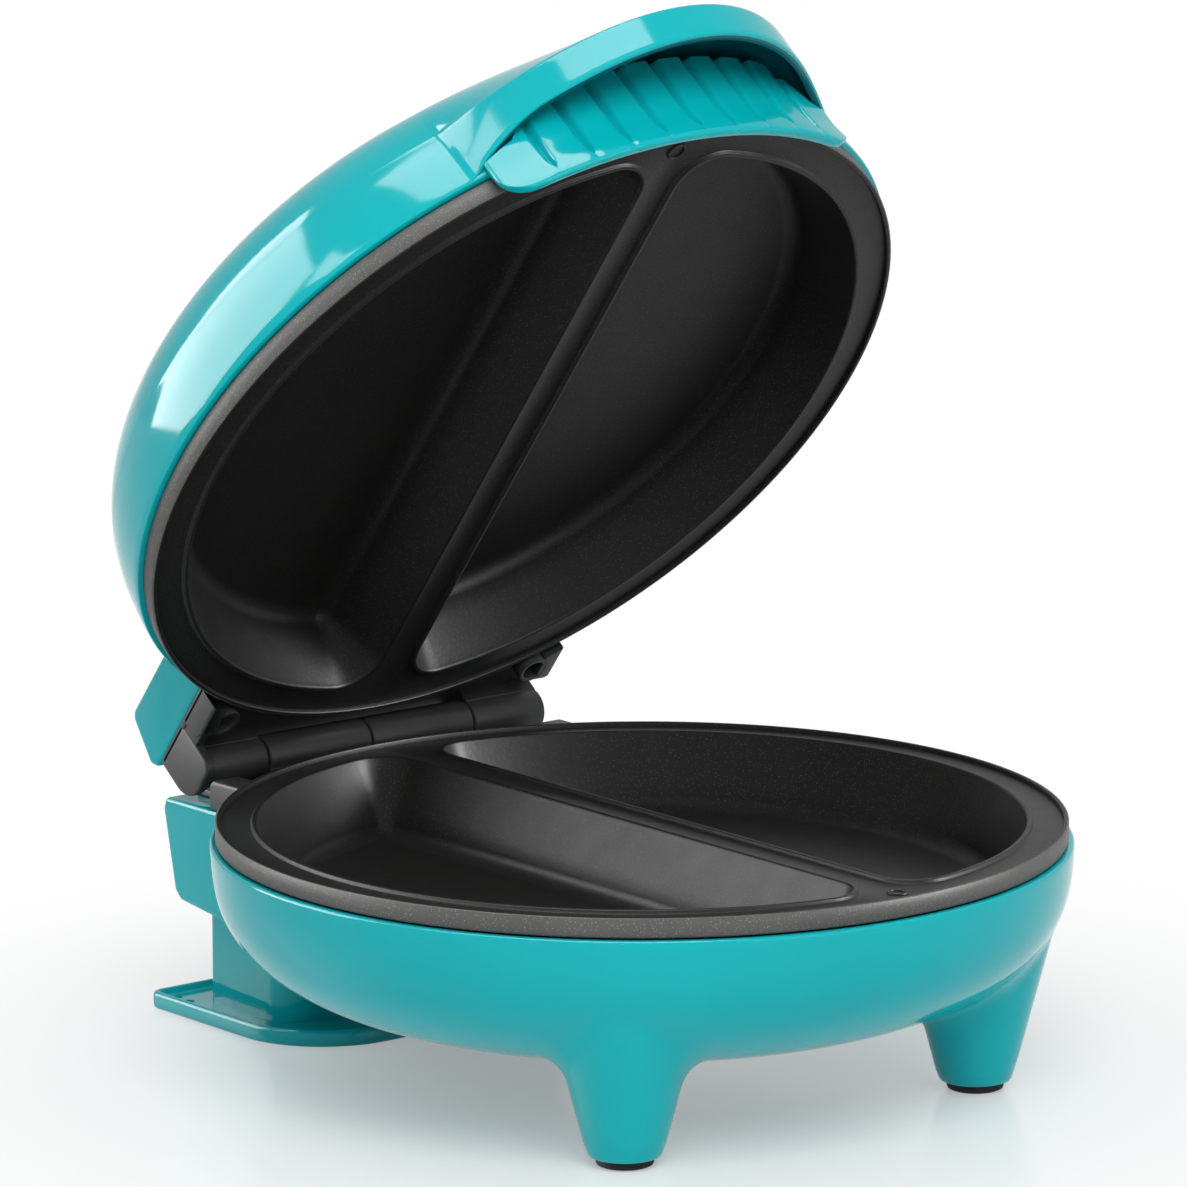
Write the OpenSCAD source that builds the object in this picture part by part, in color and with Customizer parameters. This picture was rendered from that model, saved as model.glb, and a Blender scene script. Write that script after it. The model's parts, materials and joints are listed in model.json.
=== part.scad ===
/* [Pose] */
// Angle at which the lid stands open in the modelled pose
lid_open = 52; // [30:1:80]

/* [Cooking plates] */
// How far each plate's rim lies inside the largest radius of the housings
plate_inset = 1.4; // [1:0.1:3]
// Height of the lower plate's rim above the table
rim_z = 67; // [62:0.5:76]
// Gap between the two rims when the lid is shut
plate_gap = 0.5; // [0.3:0.1:1.2]
// Height of the skirt that shows round each plate
skirt_h = 5; // [3:0.5:8]
// Thickness of the cast plate
plate_t = 2.5; // [2:0.1:3.5]
// Height of the thin lip round the rim
lip_h = 1.2; // [0.6:0.1:2]
// Width of the thin lip round the rim
lip_w = 1.3; // [0.8:0.1:2]
// Width of the rim between a plate's edge and the curved side of a well
well_inset = 10.5; // [8:0.5:18]
// Depth of each well below the rim
well_depth = 20; // [14:0.5:24]
// How far the wall of a well leans in on its way to the floor
well_draft = 8; // [4:0.5:11]
// Corner radius of each well
well_corner = 10; // [6:0.5:14]
// Width of the divider between the two wells
divider_w = 11.8; // [9:0.2:16]
// Width of the bead that runs round each well
bead_w = 1.5; // [1:0.1:2.2]

/* [Housings] */
// Largest radius of the lower and upper housing
housing_r = 108.4; // [100:0.1:117]
// Wall thickness of the moulded housings
wall = 2.6; // [2:0.1:3.2]
// Depth of the lower bowl
bowl_h = 45.4; // [43:0.2:50]
// Height of the domed lid above its rim
dome_h = 49.5; // [47:0.5:60]
// Open seam between a plate's skirt and its housing
seam = 0.4; // [0.2:0.1:0.8]

/* [Front legs] */
// Distance of each front leg from the centre line
leg_x = 56.4; // [48:0.2:62]
// Distance of the front legs in front of the plate centre
leg_y = 63; // [54:0.5:68]
// Radius of a leg at its foot
leg_r = 9.3; // [8:0.1:11]
// Radius of a leg where it reaches the bowl
leg_top_r = 15; // [13:0.2:18]
// Radius of a rubber leg pad
pad_r = 7.2; // [5:0.1:8]
// Height of the pad that shows below the leg
pad_h = 2.2; // [1.5:0.1:4]

/* [Rear column and foot] */
// Half width of the hinge blocks and of the rear foot
block_x = 57; // [54:0.5:62]
// How far the blocks' rear faces stand behind the housings
block_out = 17.6; // [17:0.1:22]
// Half width of the pillar below the lower block
pillar_x = 47.5; // [40:0.5:50]
// How far the pillar's rear face stands behind the bowl
pillar_out = 11.6; // [9:0.1:13]
// Height of the underside of the lower block
block_z = 29; // [24:0.5:34]
// How far the foot's rear edge stands behind the bowl
foot_out = 25.1; // [21:0.1:32]
// Length of the rear foot from front to back
foot_len = 68; // [60:1:74]
// Thickness of the rear foot
foot_t = 2.8; // [2:0.1:4]
// Height of the raised edge round the rear foot
foot_edge = 1.6; // [1:0.1:2.5]

/* [Hinge] */
// Distance of the hinge axis behind the housings
hinge_out = 8.1; // [7.6:0.1:9]
// Height of the hinge axis below the lower rim
hinge_drop = 1; // [0:0.1:2]
// Radius of the hinge knuckles
knuckle_r = 5.7; // [5:0.1:6]
// Radius of the hinge pin
pin_r = 2.5; // [2:0.1:3]
// Running clearance round the hinge pin
pin_fit = 0.05; // [0.02:0.01:0.1]
// Position of the seam between an inner and an outer knuckle
knuckle_x = 33.5; // [28:0.5:38]
// Gap between neighbouring knuckles
knuckle_gap = 0.6; // [0.4:0.1:1]
// Gap from the hinge axis to each block
block_gap = 8.5; // [8:0.1:10]
// Thickness of the hinge brackets
bracket_t = 2; // [1.6:0.1:2.2]

/* [Handle] */
// How far the handle's front edge stands before the dome
handle_out = 21.6; // [18:0.1:26]
// Height of the handle's lower edge above the lid's rim
handle_z = 11.5; // [9:0.5:14]
// Height of the handle's front band
band_h = 8.5; // [7:0.5:10]
// Width of the fluted grip
grip_w = 106; // [90:1:110]
// How far the grip's lip stands before the housings
grip_out = 4.2; // [3.8:0.1:6]
// How far the lip hangs below the lid's rim
lip_drop = 6; // [4:0.5:6]
// Number of grooves in the grip
groove_n = 9; // [5:1:11]
// Height of the fluted face above the lid's rim
grip_h = 20.5; // [18:0.5:24]

/* [Heating and switching] */
// How far the heating element's loop lies inside the wells' curved side
element_inset = 20.5; // [17:0.5:24]
// Radius of the heating element's tube
element_tube = 3.2; // [2.8:0.1:3.6]
// How far the four plate bosses stand inside the wells' curved side
boss_inset = 33.5; // [31:0.5:38]
// Radius of a plate boss
boss_r = 4.2; // [3.8:0.1:5]
// Height of a plate boss
boss_h = 10.5; // [8.5:0.5:11]
// How far the heat shield's edge lies inside the housings
shield_inset = 24.4; // [23:0.1:27]
// Thickness of the heat shield
shield_t = 1; // [0.8:0.1:1.4]
// Radius of the plate screws' shanks
screw_r = 1.6; // [1.4:0.1:1.9]
// Radius of a wire with its sleeve
wire_r = 1.2; // [0.9:0.1:1.5]
// Radius of an indicator lens
lens_r = 4.5; // [4:0.1:6]

/* [Hidden] */

teal = "#2fb4b8";
black = "#1f1f21";
cast = "#2b2a2b";
metal = "#b9bcc0";

// Rounding steps of full circles, and of the small ones
fine = 96;
round_n = 32;

// Small clearances
seat = 0.3;
hole_fit = 0.1;
cut = 1;

// Radii and depths that follow the housings
plate_r = housing_r - plate_inset;
well_r = plate_r - well_inset;
hinge_y = housing_r + hinge_out;
block_y = housing_r + block_out;
pillar_y = housing_r + pillar_out;
foot_y = housing_r + foot_out;
handle_y = housing_r + handle_out;
grip_r = housing_r + grip_out;
element_r = well_r - element_inset;
boss_at = well_r - boss_inset;
shield_r = housing_r - shield_inset;

// Heights that several pieces share
hinge_z = rim_z - hinge_drop;
lid_z = rim_z + plate_gap;
bowl_z = rim_z - 4;
bowl_rim_z = rim_z - skirt_h - seam;
dome_rim_z = lid_z + skirt_h + seam;
floor_d = well_depth + plate_t;
block_top_z = hinge_z - block_gap;
lid_block_z = hinge_z + block_gap;
lid_block_h = 16;
shield_d = floor_d + boss_h;
skirt_t = 2;
channel_d = lip_h;
bead_h = channel_d - 0.1;

// Exponents of the two rounded profiles
bowl_m = 2.79;
bowl_n = 3.35;
dome_m = 2.65;
dome_n = 5.5;

// Places of the four plate bosses, and the ends of the heating element
boss_angles = [45, 135, 225, 315];
element_gap = 40;
pin_drop = 7;

// Outline of a rounded shell: radius and height for angles from rim to crown
function shell_points(r, h, m, n, steps = 15) = [
    for (i = [0:steps])
        let (t = 90 * i / steps)
        [r * pow(max(cos(t), 0), 2 / n), h * pow(sin(t), 2 / m)]
];

// Height of a rounded shell above its rim plane at a given radius
function shell_z(q, r, h, m, n) = h * pow(1 - pow(q / r, n), 1 / m);

// Solid of revolution under the shell's outline
module shell_solid(r, h, m, n) {
    rotate_extrude($fn = fine)
        polygon(concat([[0, 0]], shell_points(r, h, m, n)));
}

module bowl_solid(grow = 0) {
    translate([0, 0, bowl_z])
        mirror([0, 0, 1])
            shell_solid(housing_r + grow, bowl_h + grow, bowl_m, bowl_n);
}

module dome_solid(grow = 0) {
    translate([0, 0, lid_z])
        shell_solid(housing_r + grow, dome_h + grow, dome_m, dome_n);
}

// Everything on the lid is drawn shut and then swung open about the hinge
module on_lid() {
    translate([0, hinge_y, hinge_z])
        rotate([-lid_open, 0, 0])
            translate([0, -hinge_y, -hinge_z])
                children();
}

// Disc or ring standing on z = 0
module ring(r, hole, h) {
    difference() {
        cylinder(r = r, h = h, $fn = fine);
        if (hole > 0)
            translate([0, 0, -cut])
                cylinder(r = hole, h = h + 2 * cut, $fn = fine);
    }
}

module rounded_box(x, y, r, h) {
    linear_extrude(h)
        offset(r = r, $fn = round_n)
            square([2 * (x - r), y - 2 * r], center = true);
}

// A wire laid along a list of points
module wire(points) {
    for (i = [0:len(points) - 2])
        hull() {
            translate(points[i])
                sphere(r = wire_r, $fn = 10);
            translate(points[i + 1])
                sphere(r = wire_r, $fn = 10);
        }
}

// Screw with a pan head, head up, shank running down from z = 0
module screw(r, len, head_r, head_h) {
    translate([0, 0, -len])
        cylinder(r = r, h = len, $fn = round_n);
    difference() {
        cylinder(r = head_r, h = head_h, $fn = round_n);
        for (a = [0, 90])
            rotate([0, 0, a])
                translate([0, 0, head_h])
                    cube([1.2 * head_r, 0.25 * head_r, head_h], center = true);
    }
}

// Solid on a half-moon plan on the +X side. Its edge follows a list of steps: how far
// the edge lies outside the well's own edge, and at what height
module half_moon(steps) {
    corner_x = divider_w / 2 + well_corner;
    corner_y = sqrt(pow(well_r - well_corner, 2) - pow(corner_x, 2));
    sweep = atan2(corner_y, corner_x);
    hull() {
        rotate([0, 0, -sweep])
            rotate_extrude(angle = 2 * sweep, $fn = 60)
                half_moon_edge(well_r - well_corner, well_r, steps);
        for (s = [-1, 1])
            translate([corner_x, s * corner_y, 0])
                rotate_extrude($fn = 28)
                    half_moon_edge(0, well_corner, steps);
    }
}

module half_moon_edge(inner, r, steps) {
    last = len(steps) - 1;
    polygon(concat([[inner, steps[0][1]]],
        [for (s = steps) [max(r + s[0], inner + 0.5), s[1]]], [[inner, steps[last][1]]]));
}

// One well, grown by a wall. Its floor runs into the walls in a soft curve
module well(grow, top_z) {
    d = well_depth - channel_d;
    half_moon([[grow, top_z], [grow, 0], [grow - 0.78 * well_draft, -0.78 * d - grow],
        [grow - 0.93 * well_draft, -0.93 * d - grow], [grow - 1.3 * well_draft, -d - grow]]);
}

// Cast plate with its rim plane at z = 0 and its wells below
module plate_shape() {
    difference() {
        union() {
            rotate_extrude($fn = fine)
                polygon([[0, -channel_d - plate_t], [plate_r - skirt_t, -channel_d - plate_t],
                    [plate_r - skirt_t, -skirt_h], [plate_r, -skirt_h], [plate_r, 0],
                    [plate_r - lip_w, 0], [plate_r - lip_w, -channel_d], [0, -channel_d]]);
            translate([0, 0, -channel_d])
                for (m = [0, 1])
                    mirror([m, 0, 0]) {
                        half_moon([[bead_w, -plate_t / 2], [bead_w, bead_h - bead_w / 3],
                            [bead_w * 2 / 3, bead_h]]);
                        well(plate_t, -plate_t / 2);
                    }
            for (a = boss_angles)
                rotate([0, 0, a])
                    translate([boss_at, 0, -shield_d])
                        cylinder(r = boss_r, h = boss_h + plate_t / 2, $fn = round_n);
        }
        translate([0, 0, -channel_d])
            for (m = [0, 1])
                mirror([m, 0, 0])
                    well(0, bead_h + cut);
        for (a = boss_angles)
            rotate([0, 0, a])
                translate([boss_at, 0, -shield_d - cut])
                    cylinder(r = screw_r + hole_fit, h = boss_h - 1 + cut, $fn = round_n);
    }
}

// Tubular heating element below a plate whose rim plane is z = 0
module element_shape() {
    half = (360 - element_gap) / 2;
    translate([0, 0, -floor_d - seat - element_tube]) {
        rotate([0, 0, -90 - half])
            rotate_extrude(angle = 2 * half, $fn = fine)
                translate([element_r, 0])
                    circle(r = element_tube, $fn = round_n);
        for (s = [-1, 1])
            rotate([0, 0, 90 + s * element_gap / 2])
                translate([element_r, 0, 0]) {
                    translate([0, 0, -element_tube - 1])
                        cylinder(r = element_tube, h = 2 * element_tube, $fn = round_n);
                    translate([0, 0, -element_tube - pin_drop])
                        cylinder(r = 1.3, h = pin_drop, $fn = round_n);
                }
    }
}

// Heat shield: a shallow dish that the bosses stand on, with holes for screws and pins
module shield_shape() {
    edge_h = 4;
    translate([0, 0, -shield_d - shield_t])
        difference() {
            union() {
                cylinder(r = shield_r, h = shield_t, $fn = fine);
                ring(shield_r, shield_r - shield_t, edge_h);
            }
            for (a = boss_angles)
                rotate([0, 0, a])
                    translate([boss_at, 0, -cut])
                        cylinder(r = screw_r + 2 * hole_fit, h = shield_t + 2 * cut, $fn = round_n);
            for (s = [-1, 1])
                rotate([0, 0, 90 + s * element_gap / 2])
                    translate([element_r, 0, -cut])
                        cylinder(r = 2.4, h = shield_t + 2 * cut, $fn = round_n);
        }
}

// Hollow post that reaches from a housing to the heat shield
post_r = 6.2;
post_top_z = rim_z - shield_d - shield_t;
post_seat_d = 7;
post_seat_z = post_top_z - post_seat_d;
head_r = 3.5;
head_h = 2.4;
screw_bite = boss_h - 2.5;

// Rubber pad's plug, and the floor inside each hollow leg
pad_plug_r = pad_r - 3;
pad_plug_h = 5;
leg_floor_z = pad_h + pad_plug_h + 2;

// Height at which a leg starts to widen into the bowl, and where it ends
leg_blend_z = 24;
leg_end_z = 38;

module leg_solid(x) {
    translate([x, -leg_y, 0])
        rotate_extrude($fn = 64)
            polygon([[0, pad_h], [leg_r - 1, pad_h], [leg_r, pad_h + 1],
                [leg_top_r, leg_blend_z], [leg_top_r + 2.6, leg_end_z - 6],
                [leg_top_r + 6, leg_end_z], [0, leg_end_z]]);
}

module lower_housing() {
    color(teal)
        difference() {
            union() {
                difference() {
                    union() {
                        bowl_solid();
                        for (s = [-1, 1])
                            leg_solid(s * leg_x);
                    }
                    translate([0, 0, bowl_z + 0.01])
                        mirror([0, 0, 1])
                            shell_solid(housing_r - wall, bowl_h - wall, bowl_m, bowl_n);
                }
                intersection() {
                    for (a = boss_angles)
                        rotate([0, 0, a])
                            translate([boss_at, 0, 0])
                                cylinder(r = post_r, h = post_top_z, $fn = round_n);
                    bowl_solid();
                }
            }
            translate([0, 0, bowl_rim_z])
                cylinder(r = 2 * housing_r, h = plate_r, $fn = 16);
            for (a = boss_angles)
                rotate([0, 0, a])
                    translate([boss_at, 0, 0]) {
                        cylinder(r = screw_r + 2 * hole_fit, h = rim_z, $fn = round_n);
                        cylinder(r = head_r + seat, h = post_seat_z, $fn = round_n);
                    }
            wire_hole();
            for (s = [-1, 1])
                translate([s * leg_x, -leg_y, 0]) {
                    cylinder(r = pad_plug_r + hole_fit, h = pad_h + pad_plug_h, $fn = round_n);
                    translate([0, 0, leg_floor_z])
                        cylinder(r1 = leg_r - wall + 1, r2 = leg_top_r - wall,
                            h = leg_blend_z - leg_floor_z, $fn = 64);
                }
        }
}

// Hole for the leads from the column into the bowl
wire_hole_z = post_top_z + 3;
wire_hole_r = 5;
wire_hole_l = 24;
module wire_hole() {
    translate([0, hollow_y + 3 - wire_hole_l, wire_hole_z])
        rotate([-90, 0, 0])
            cylinder(r = wire_hole_r, h = wire_hole_l, $fn = round_n);
}

module leg_pads() {
    color(black)
        for (s = [-1, 1])
            translate([s * leg_x, -leg_y, 0]) {
                rotate_extrude($fn = 48)
                    polygon([[0, 0], [pad_r - 0.8, 0], [pad_r, 0.8], [pad_r, pad_h],
                        [0, pad_h]]);
                cylinder(r = pad_plug_r, h = pad_h + pad_plug_h - hole_fit, $fn = round_n);
            }
}

// Block and pillar behind the bowl, in one hollow moulding
pillar_front_y = housing_r - 22.4;
pillar_corner = 9;
column_in_y = pillar_y - wall;
hollow_l = 16.4;
hollow_y = column_in_y - hollow_l;
boss_len = 9;
module rear_column() {
    mid_y = (pillar_front_y + pillar_y) / 2;
    color(teal)
        difference() {
            union() {
                rotate([90, 0, 90])
                    translate([0, 0, -block_x])
                        linear_extrude(2 * block_x)
                            polygon([[pillar_front_y, block_z - 2], [block_y - 7, block_z + 2],
                                [block_y - 4.5, block_z + 5], [block_y, block_top_z - 3],
                                [block_y - 0.4, block_top_z - 1], [block_y - 1.6, block_top_z],
                                [pillar_front_y, block_top_z]]);
                translate([0, mid_y, foot_t])
                    rounded_box(pillar_x, pillar_y - pillar_front_y, pillar_corner, block_z);
            }
            bowl_solid(seat);
            column_hollow();
            wire_hole();
            translate([0, column_in_y - cut, bush_z])
                rotate([-90, 0, 0])
                    cylinder(r = bush_r + hole_fit, h = 20, $fn = round_n);
            lower_bracket_places()
                translate([0, 0, -boss_len])
                    cylinder(r = screw_r + hole_fit, h = boss_len + cut, $fn = round_n);
            foot_screw_places()
                translate([0, 0, -cut])
                    cylinder(r = screw_r + hole_fit, h = foot_t + boss_len + cut, $fn = round_n);
        }
}

// Room inside the column: a high part behind the bowl and a low part below it
module column_hollow() {
    low_x = pillar_x - 8;
    low_z = bowl_z - shell_z(pillar_front_y, housing_r, bowl_h, bowl_m, bowl_n) - 3;
    difference() {
        union() {
            translate([-pillar_x + wall, hollow_y, 0])
                cube([2 * (pillar_x - wall), column_in_y - hollow_y, block_top_z - wall]);
            translate([-low_x, pillar_front_y + wall, 0])
                cube([2 * low_x, hollow_y - pillar_front_y, low_z]);
        }
        lower_bracket_places()
            translate([0, 0, -14])
                cylinder(r = 4.2, h = 14, $fn = round_n);
        foot_screw_places()
            cylinder(r = 4.6, h = 2 * block_z, $fn = round_n);
    }
}

// Flat foot that closes the column and carries the wound cord
small_head_r = 2.8;
small_head_h = 1.4;
foot_recess = 1.6;
dimple_r = 1.5;
dimple_step = 5;
module rear_foot() {
    color(teal)
        difference() {
            union() {
                foot_plan(0, foot_t);
                difference() {
                    foot_plan(0, foot_t + foot_edge);
                    foot_plan(2, foot_t + foot_edge + cut);
                }
            }
            foot_screw_places()
                translate([0, 0, -cut]) {
                    cylinder(r = screw_r + 2 * hole_fit, h = foot_t + 2 * cut, $fn = round_n);
                    cylinder(r = small_head_r + 0.5, h = foot_recess + cut, $fn = round_n);
                }
            for (s = [-1, 1])
                for (d = [1, 2])
                    translate([s * (block_x - dimple_step), foot_y - d * dimple_step, foot_t - 0.8])
                        cylinder(r = dimple_r, h = 2, $fn = round_n);
        }
}

// Plan of the foot: square at the rear, widely rounded in front
module foot_plan(inset, h) {
    big = 26;
    small = 3;
    linear_extrude(h)
        hull()
            for (s = [-1, 1]) {
                translate([s * (block_x - big), foot_y - foot_len + big])
                    circle(r = big - inset, $fn = 64);
                translate([s * (block_x - small), foot_y - small])
                    circle(r = small - min(inset, small - 0.5), $fn = 24);
            }
}

foot_screw_x = 38;
module foot_screw_places() {
    for (s = [-1, 1])
        translate([s * foot_screw_x, pillar_front_y + 8.5, 0])
            children();
}

module rear_foot_screws() {
    color(metal)
        foot_screw_places()
            translate([0, 0, foot_recess])
                mirror([0, 0, 1])
                    screw(screw_r, boss_len, small_head_r, small_head_h);
}

// Bush in the column's rear wall for the supply cord
bush_r = 5.5;
bush_z = 14;
cord_r = 3.4;
flange_t = 2;
module cord_bush() {
    inner_t = flange_t + 0.2;
    color(black)
        translate([0, 0, bush_z])
            rotate([-90, 0, 0])
                difference() {
                    union() {
                        translate([0, 0, column_in_y])
                            cylinder(r = bush_r, h = wall + flange_t, $fn = round_n);
                        translate([0, 0, pillar_y])
                            cylinder(r = bush_r + 2, h = flange_t, $fn = round_n);
                        translate([0, 0, pillar_y + flange_t])
                            cylinder(r1 = bush_r, r2 = bush_r - 1, h = 6, $fn = round_n);
                        translate([0, 0, column_in_y - inner_t])
                            cylinder(r = bush_r + 1.5, h = inner_t, $fn = round_n);
                    }
                    translate([0, 0, column_in_y - 4])
                        cylinder(r = cord_r, h = 20, $fn = round_n);
                }
}

// Ceramic block where the cord meets the inner leads
terminal_w = 30;
terminal_l = 9;
terminal_h = 14;
module terminal_block() {
    way_w = terminal_w / 3;
    color("#e8e4da")
        translate([-terminal_w / 2, column_in_y - seat - terminal_l, wire_hole_z + 1 - terminal_h])
            difference() {
                cube([terminal_w, terminal_l, terminal_h]);
                for (i = [0:2])
                    translate([(i + 0.5) * way_w, -cut, terminal_h - way_w / 2])
                        rotate([-90, 0, 0])
                            cylinder(r = 2, h = terminal_l + 2 * cut, $fn = round_n);
            }
}

module lower_plate() {
    color(cast)
        translate([0, 0, rim_z])
            plate_shape();
}

module lower_element() {
    color(metal)
        translate([0, 0, rim_z])
            element_shape();
}

module lower_heat_shield() {
    color(metal)
        translate([0, 0, rim_z])
            shield_shape();
}

module lower_plate_screws() {
    color(metal)
        for (a = boss_angles)
            rotate([0, 0, a])
                translate([boss_at, 0, post_seat_z])
                    mirror([0, 0, 1])
                        screw(screw_r, post_seat_d + shield_t + screw_bite, head_r, head_h);
}

// Snap-disc thermostat held against the underside of one well
switch_x = 40;
disc_r = 7.5;
disc_h = 8;
ear_l = 24;
ear_w = 7;
module thermostat() {
    color("#8a6a4a")
        translate([switch_x, 0, rim_z - floor_d - seat]) {
            translate([0, 0, -disc_h])
                cylinder(r = disc_r, h = disc_h, $fn = round_n);
            translate([-ear_l / 2, -ear_w / 2, -1])
                cube([ear_l, ear_w, 1]);
        }
}

// Thermal fuse in its clip under the other well
fuse_r = 2.2;
fuse_l = 14;
clip_w = 7;
clip_t = 1.2;
module thermal_fuse() {
    color(metal)
        translate([-switch_x, 0, rim_z - floor_d - seat - clip_t]) {
            translate([0, 0, -clip_t - 0.2])
                rotate([90, 0, 0])
                    cylinder(r = fuse_r, h = fuse_l, center = true, $fn = round_n);
            translate([-clip_w / 2, -clip_w / 3, 0])
                cube([clip_w, clip_w * 2 / 3, clip_t]);
        }
}

// Heights at which a wire still clears the bowl's floor and the dome's crown
wire_room = wire_r + 0.5;
function over_bowl(y) = bowl_z + wire_room
    - shell_z(y, housing_r - wall, bowl_h - wall, bowl_m, bowl_n);
function under_dome(y) = lid_z - wire_room
    + shell_z(y, housing_r - wall, dome_h - wall, dome_m, dome_n);

// Ends of the element's pins, seen from the rim plane
pin_x = element_r * sin(element_gap / 2);
pin_y = element_r * cos(element_gap / 2);
pin_d = floor_d + seat + 2 * element_tube + pin_drop;

module lower_wiring() {
    z = rim_z - pin_d - wire_r - 0.1;
    end_y = column_in_y - seat - terminal_l - wire_r - 0.1;
    r = housing_r;
    color("#c9b48a")
        for (s = [-1, 1])
            wire([[s * 3, end_y, wire_hole_z - 5], [s * 3, r - 5.4, wire_hole_z],
                [s * 3, r - 17.4, wire_hole_z], [s * 4, r - 20.4, max(z + 4, over_bowl(r - 20.4))],
                [s * 5, r - 24.9, max(z + 1.3, over_bowl(r - 24.9))],
                [s * 14, r - 31.4, max(z, over_bowl(r - 31.4))], [s * pin_x, pin_y, z]]);
}

// Hinge parts
knuckle_in = knuckle_x - knuckle_gap / 2;
knuckle_out = knuckle_x + knuckle_gap / 2;
arm_w = 5;
arm_len = 16.4;
arm_drop = 0.9;
cap_t = 3;
cap_r = 6.9;
cap_toe_r = 3.4;
cap_front = 8.8;
cap_back = 6;
cap_drop = 7.5;
lug_w = 9;
lug_gap = 10.8;
lower_half = block_x - lug_w + 1;
bracket_r = housing_r + 1;
bracket_y = housing_r - 18.4;
lower_screw_x = 44;
upper_screw_x = block_x - 6.7;
upper_screw_y = bracket_y + 10.8;

module knuckle(x0, x1) {
    translate([x0, hinge_y, hinge_z])
        rotate([0, 90, 0])
            cylinder(r = knuckle_r, h = x1 - x0, $fn = 48);
}

module pin_hole() {
    translate([-block_x, hinge_y, hinge_z])
        rotate([0, 90, 0])
            cylinder(r = pin_r + pin_fit, h = 2 * block_x + cut, $fn = 48);
}

module lower_bracket_places() {
    for (s = [-1, 1])
        translate([s * lower_screw_x, hinge_y - 6.5, block_top_z + bracket_t])
            children();
}

module lower_hinge_bracket() {
    color(black)
        difference() {
            union() {
                translate([-lower_half, bracket_y, block_top_z])
                    cube([2 * lower_half, hinge_y + knuckle_r + seat - bracket_y, bracket_t]);
                for (s = [-1, 1])
                    translate([s > 0 ? block_x - lug_w : -block_x, bracket_y, block_top_z])
                        cube([lug_w, hinge_y - lug_gap - bracket_y, block_gap - 0.6]);
                for (s = [-1, 1]) {
                    x0 = s > 0 ? knuckle_gap / 2 : -knuckle_in;
                    knuckle(x0, x0 + knuckle_in - knuckle_gap / 2);
                    translate([x0, hinge_y - knuckle_r, block_top_z])
                        cube([knuckle_in - knuckle_gap / 2, 2 * knuckle_r, block_gap]);
                }
            }
            pin_hole();
            cylinder(r = bracket_r, h = 2 * rim_z, $fn = fine);
            lower_bracket_places()
                translate([0, 0, -bracket_t - cut])
                    cylinder(r = screw_r + 2 * hole_fit, h = bracket_t + 2 * cut, $fn = round_n);
        }
}

module lower_hinge_screws() {
    color(metal)
        lower_bracket_places()
            screw(screw_r, boss_len - 2, small_head_r, small_head_h);
}

// Pin that is driven in from the right. The cap on the lid's left arm hides its other end
module hinge_pin() {
    color(metal)
        translate([cap_t + hole_fit - block_x, hinge_y, hinge_z])
            rotate([0, 90, 0])
                cylinder(r = pin_r, h = 2 * block_x - cap_t - 2 * hole_fit, $fn = 48);
}

// Plan of the handle: a shallow parabola, from its middle to where it meets the dome
function handle_curve(y0, k, half, n = 11) = [
    for (i = [-n:n]) let (x = half * i / n) [x, -y0 + k * x * x]
];

module handle_level(y0, k, half, z) {
    translate([0, 0, z])
        linear_extrude(0.02)
            polygon(concat(handle_curve(y0, k, half), [[half, -handle_in], [-half, -handle_in]]));
}

// Bends of the handle's lower and upper edge, and half widths of the two edges
low_k = 1.377 / housing_r;
high_k = 1.171 / housing_r;
low_half = grip_w / 2 + 2;
high_half = grip_w / 2 + 10;
crown_half = 42;
handle_in = 40;
band_z = lid_z + handle_z;
band_top_z = band_z + band_h;
module handle_solid() {
    hull() {
        handle_level(handle_y - 0.6, low_k, low_half - 1, band_z);
        handle_level(handle_y, low_k, low_half, band_z + 1);
        handle_level(handle_y, high_k, high_half, band_top_z);
        handle_level(handle_y - 2.5, high_k, high_half, band_top_z + 2);
        handle_level(handle_y - 19, high_k, high_half - 7, band_top_z + 13.5);
        handle_level(handle_y - 44, high_k, crown_half, lid_z + dome_h - 6.5);
    }
}

// Hollow under the handle where the fingers go
module finger_hollow() {
    front_y = handle_y - wall - 0.4;
    half = low_half - 3;
    difference() {
        hull() {
            handle_level(front_y, low_k, half - 0.5, band_z - cut);
            handle_level(front_y - 0.5, low_k, half, band_top_z - 1);
            handle_level(front_y - 5, low_k, half, band_top_z + 1.5);
            handle_level(front_y - 15, low_k, half - 4, band_top_z + 7);
        }
        dome_solid();
        cylinder(r = housing_r, h = band_z + 3.5, $fn = fine);
    }
}

module upper_housing() {
    color(teal)
        on_lid()
            difference() {
                union() {
                    difference() {
                        union() {
                            dome_solid();
                            handle_solid();
                        }
                        translate([0, 0, lid_z - 0.01])
                            shell_solid(housing_r - wall, dome_h - wall, dome_m, dome_n);
                        finger_hollow();
                    }
                    intersection() {
                        for (a = boss_angles)
                            rotate([0, 0, a])
                                translate([boss_at, 0, lid_z + shield_d + shield_t + head_h + 0.2])
                                    ring(post_r - 1, head_r + 0.4, dome_h);
                        dome_solid();
                    }
                }
                translate([0, 0, dome_rim_z - plate_r])
                    cylinder(r = 2 * housing_r, h = plate_r, $fn = 16);
                lens_places()
                    cylinder(r = lens_r - 0.6 + hole_fit, h = 40, $fn = round_n);
                translate([0, housing_r / 2, lid_lead_z])
                    rotate([-90, 0, 0])
                        cylinder(r = wire_hole_r, h = housing_r, $fn = round_n);
            }
}

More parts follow.
